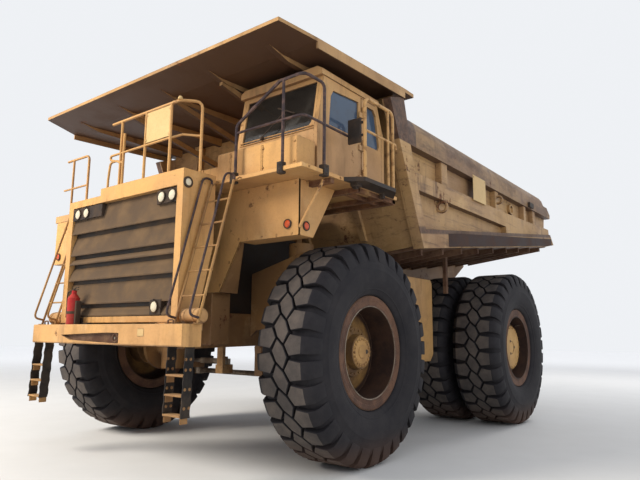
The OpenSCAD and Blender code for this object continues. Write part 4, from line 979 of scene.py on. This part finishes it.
# Inner x, outer x, cut edge and outline of each: sheet, post, low rail, middle rail, then the top rail's
# end and corner
BED_PARTS = [
    (2.71, 2.75, 0, BED_FOOT + [(5.258, 4.368), (5.354, 4.834), (4.822, 5.205), (-2.3, 5.205),
                                (-2.3, 4.9), (-2.425, 4.74)]),
    (2.745, 2.902, 0.006, [(-1.68, 3.116), (-1.598, 3.427), (-2.061, 4.74), (-2.262, 5.477),
                           (-2.676, 5.334), (-2.425, 4.74)]),
    (2.745, 2.9, 0.006, BED_FOOT + [(5.3, 4.32), (-1.735, 3.423)]),
    (2.745, 2.87, 0.006, [(-1.9, 4.06), (2.16, 4.06), (2.19, 3.92), (5.29, 4.31), (5.26, 4.45),
                          (2.2, 4.37), (-1.98, 4.335)]),
    (2.745, 2.9, 0.006, [(4.822, 4.74), (5.33, 4.74), (5.354, 4.834), (5.12, 5.0), (4.822, 5.0)]),
    (2.745, 2.8, 0.006, [(4.822, 4.9), (5.2, 4.9), (5.354, 4.834), (4.822, 5.205)])]
# The top rail's section, as (x, z)
BED_TOP_RAIL = [(2.75, 4.74), (2.9, 4.74), (2.9, 5.0), (2.86, 5.12), (2.80, 5.205), (2.75, 5.205)]
# Start and end of each rib along the bed
BED_RIBS = [(-0.901, -0.661), (1.62, 1.80), (3.40, 3.55), (4.05, 4.22)]
# Lifting eyes, as (y, z, radius)
BED_EYES = [(-0.86, 3.95, 0.09), (1.71, 4.56, 0.075)]


def make_bed_sides():
    """The bed's side sheets with three rails, short ribs, a rub rail and lifting eyes, and a bare plate."""
    shape = Shape()
    for side in (1, -1):
        for inner, outer, edge, outline in BED_PARTS:
            depth = (side * (outer - inner), 0, 0)
            shape.prism([(side * inner, y, z) for y, z in outline], depth, edge=edge)
        shape.prism([(side * x, -2.2, z) for x, z in BED_TOP_RAIL], (0, 7.03, 0))
        inner, outer = sorted((side * 2.745, side * 2.865))
        for start, end in BED_RIBS:
            shape.block((inner, start, 4.33), (outer, end, 4.76), 0.01)
        # Rub rail with its front end cut to a wedge
        rub = [(2.895, -0.76), (2.902, -0.76), (2.99, -0.53), (2.99, 5.06), (2.895, 5.06)]
        low = [(side * x, y, 3.352 + (y + 0.02) * 0.1282) for x, y in rub]
        high = [(side * x, y, 3.573 + (y + 0.02) * 0.1175) for x, y in rub]
        shape.loft([low, high], 1)
        for y, z, radius in BED_EYES:
            ring = [(side * (2.75 + (2 if y > 0 else 1) * radius - radius * math.cos(math.tau * k / 16)),
                     y, z + radius * math.sin(math.tau * k / 16)) for k in range(17)]
            shape.tube(ring, 0.028, 8)
        shape.lathe([(0.001, 0.0), (0.12, 0.0), (0.125, 0.05), (0.115, 0.062), (0.085, 0.062), (0.075, 0.02),
                     (0.001, 0.02)], (side * 2.748, 2.75, 4.55), (side, 0, 0), 32)
    # Black box on the left top rail; its right twin sits inside the rail there
    for inner, outer in ((2.898, 2.955), (-2.865, -2.745)):
        shape.block((inner, 3.62, 4.755), (outer, 3.90, 4.875), 0.008, 2)
    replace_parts(make("bed_side_plates", shape, [BED_PAINT, RUB_RAIL, BLACK], "bed"), "bed_sides")
    plate = Shape()
    plate.block((2.9, 0.38, 4.31), (2.906, 1.0, 4.81), 0.002)
    plate.bolts([2.906], (0.42, 0.96), [4.77], LEFT, 0.012, 0.008)
    for y in (0.42, 0.94):
        plate.block((2.866, y, 4.31), (2.902, y + 0.03, 4.34), 0.002)
    make("bed_blank_plate", plate, [SIGN_PAINT], "bed")


# Wheels' hubs

FRONT_TRACK = 2.425
REAR_TRACK = (2.668, 1.617)
# Rims as closed outlines of (radius, distance outwards from the wheel's middle)
BEAD_SEAT = [(0.62, -0.355), (0.775, -0.355), (0.775, -0.327), (0.648, -0.327), (0.648, 0.327),
             (0.775, 0.327)]
OUTER_RIM = [
    (0.002, 0.065), (0.285, 0.065), (0.285, -0.17), (0.33, -0.17), (0.33, 0.10), (0.62, 0.04), *BEAD_SEAT,
    (0.775, 0.349), (0.768, 0.355), (0.70, 0.352), (0.69, 0.346), (0.655, 0.346), (0.648, 0.355),
    (0.62, 0.355), (0.62, 0.08), (0.46, 0.16), (0.452, 0.2), (0.44, 0.2), (0.436, 0.217), (0.426, 0.223),
    (0.125, 0.223), (0.12, 0.21), (0.05, 0.21), (0.045, 0.2), (0.002, 0.2)]
INNER_RIM = [
    (0.285, -0.37), (0.33, -0.37), (0.33, -0.10), (0.62, -0.16), *BEAD_SEAT, (0.775, 0.355), (0.62, 0.355),
    (0.62, -0.12), (0.34, -0.04), (0.285, -0.04)]


def ring_of_bolts(shape, at, out, ring, count, radius, height, finish, turn=0.0):
    for k in range(count):
        angle = math.tau * (k + turn) / count
        spot = at + ring * Vector((0, math.cos(angle), math.sin(angle)))
        shape.bolt(spot, out, radius, height, True, finish)


def make_front_hub(node, body, side):
    """Front rim's lock ring and flange, and the hub's cap with its two rings of bolts."""
    out = Vector((side, 0, 0))
    at = Vector((FRONT_TRACK * side, *middle_of(node).yz))
    shape = Shape()
    # Worn lock ring between the barrel and the flange, and the rim's stepped flange
    shape.lathe([(0.622, 0.352), (0.622, 0.358), (0.630, 0.362), (0.638, 0.358), (0.638, 0.352)],
                at, out, 72, 2, closed=True)
    shape.lathe([(0.70, 0.352), (0.70, 0.357), (0.71, 0.36), (0.76, 0.36), (0.766, 0.352)], at, out, 72, 3,
                closed=True)
    face = 0.192
    shape.lathe([(0.211, face - 0.06), (0.211, face - 0.004), (0.199, face + 0.006), (0.09, face + 0.008),
                 (0.085, face + 0.016), (0.002, face + 0.018)], at, out, 48)
    ring_of_bolts(shape, at + out * (face + 0.003), out, 0.18, 20, 0.016, 0.02, 0)
    ring_of_bolts(shape, at + out * 0.068, out, 0.305, 20, 0.015, 0.026, 3)
    shape.lathe([(0.03, face + 0.004), (0.03, face + 0.012), (0.022, face + 0.013), (0.02, face + 0.009),
                 (0.002, face + 0.009)], at + Vector((0, 0.115, 0.0)), out, 20, 1)
    make(node + "_hub", shape, [HUB_PAINT, BLACK, STEEL, FRONT_RIM], body)


def make_rear_rims(node, body, side):
    """Twin rims on one drum, with the hub's cover, its bolts and a valve stem."""
    out = Vector((side, 0, 0))
    outer, inner = (Vector((x * side, *middle_of(node).yz)) for x in REAR_TRACK)
    shape = Shape()
    shape.lathe(OUTER_RIM, outer, out, 72, 0, closed=True)
    shape.lathe(INNER_RIM, inner, -out, 48, 0, closed=True)
    shape.lathe([(0.285, -0.2), (0.42, -0.2), (0.42, 1.052), (0.285, 1.052)], inner, out, 48, 0, closed=True)
    cover = outer + out * 0.224
    shape.lathe([(0.13, -0.001), (0.13, 0.004), (0.425, 0.004), (0.432, -0.003)], cover, out, 56, 1)
    ring_of_bolts(shape, cover + out * 0.003, out, 0.402, 24, 0.015, 0.016, 1)
    ring_of_bolts(shape, cover + out * 0.003, out, 0.145, 3, 0.02, 0.008, 2)
    ring_of_bolts(shape, outer + out * 0.1, out, 0.535, 16, 0.022, 0.05, 0, 0.5)
    # Valve stem
    spot = outer + Vector((0.18 * side, 0.4, 0.44))
    shape.tube([spot, spot + Vector((0.09 * side, 0.02, 0.02))], 0.009, 8, 3)
    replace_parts(make(node + "_set", shape, [REAR_RIM, HUB_PAINT, BLACK, STEEL], body), node)


# Lower edges of the shutters' slats, and the top and bottom of their opening
SLAT_EDGES = [3.64, 3.225, 2.892, 2.752, 2.505, 2.15, 1.972]


def make_shutters():
    """Slats that lean out to their lower edges, with dark gaps under them."""
    low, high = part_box("radiator_shutters")
    shape = Shape()
    front = low.y + 0.004
    back = min(front + 0.1, high.y - 0.004)
    for top, bottom in zip(SLAT_EDGES, SLAT_EDGES[1:]):
        upper = top - (0.05 if top < 3.6 else 0)
        crease = (upper + bottom) / 2 + 0.03
        profile = [(front + 0.075, upper), (front + 0.04, crease), (front + 0.034, crease - 0.012),
                   (front + 0.008, bottom + 0.03), (front + 0.002, bottom + 0.022), (front + 0.002, bottom),
                   (front + 0.03, bottom), (back - 0.004, upper)]
        shape.prism([(low.x + 0.0005, y, z) for y, z in profile], (high.x - low.x - 0.001, 0, 0))
        for x in (-0.42, 0.42):
            shape.bolt((x, front + 0.003, bottom + 0.014), FRONT, 0.008, 0.005, False)
    shape.block((low.x, back - 0.002, low.z), (high.x, high.y, high.z), 0.002, 1)
    for x0, z0, x1, z1 in LAMP_PLATES:
        shape.block((x0, low.y, z0), (x1, back, z1), 0.003, 1)
    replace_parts(make("shutter_slats", shape, [SLATS, BLACK]), "radiator_shutters")


# The scene

make_camera()
make_world()
make_lights()
finish_nodes()
make_tyres()
make_ladders()
make_fenders()
make_lamps()
make_bumper()
make_deck()
make_fittings()
make_shutters()
make_bed_sides()
for sign, name in ((1, "left"), (-1, "right")):
    make_front_hub(f"front_{name}_rim", f"front_{name}_wheel", sign)
    make_rear_rims(f"rear_{name}_rims", f"rear_{name}_wheels", sign)

floor_mesh = bpy.data.meshes.new("floor")
floor_mesh.from_pydata([(-60, -60, 0), (60, -60, 0), (60, 60, 0), (-60, 60, 0)], [], [[0, 1, 2, 3]])
floor_mesh.materials.append(floor_finish())
placed("floor", floor_mesh)

bpy.context.scene.view_settings.view_transform = "Standard"
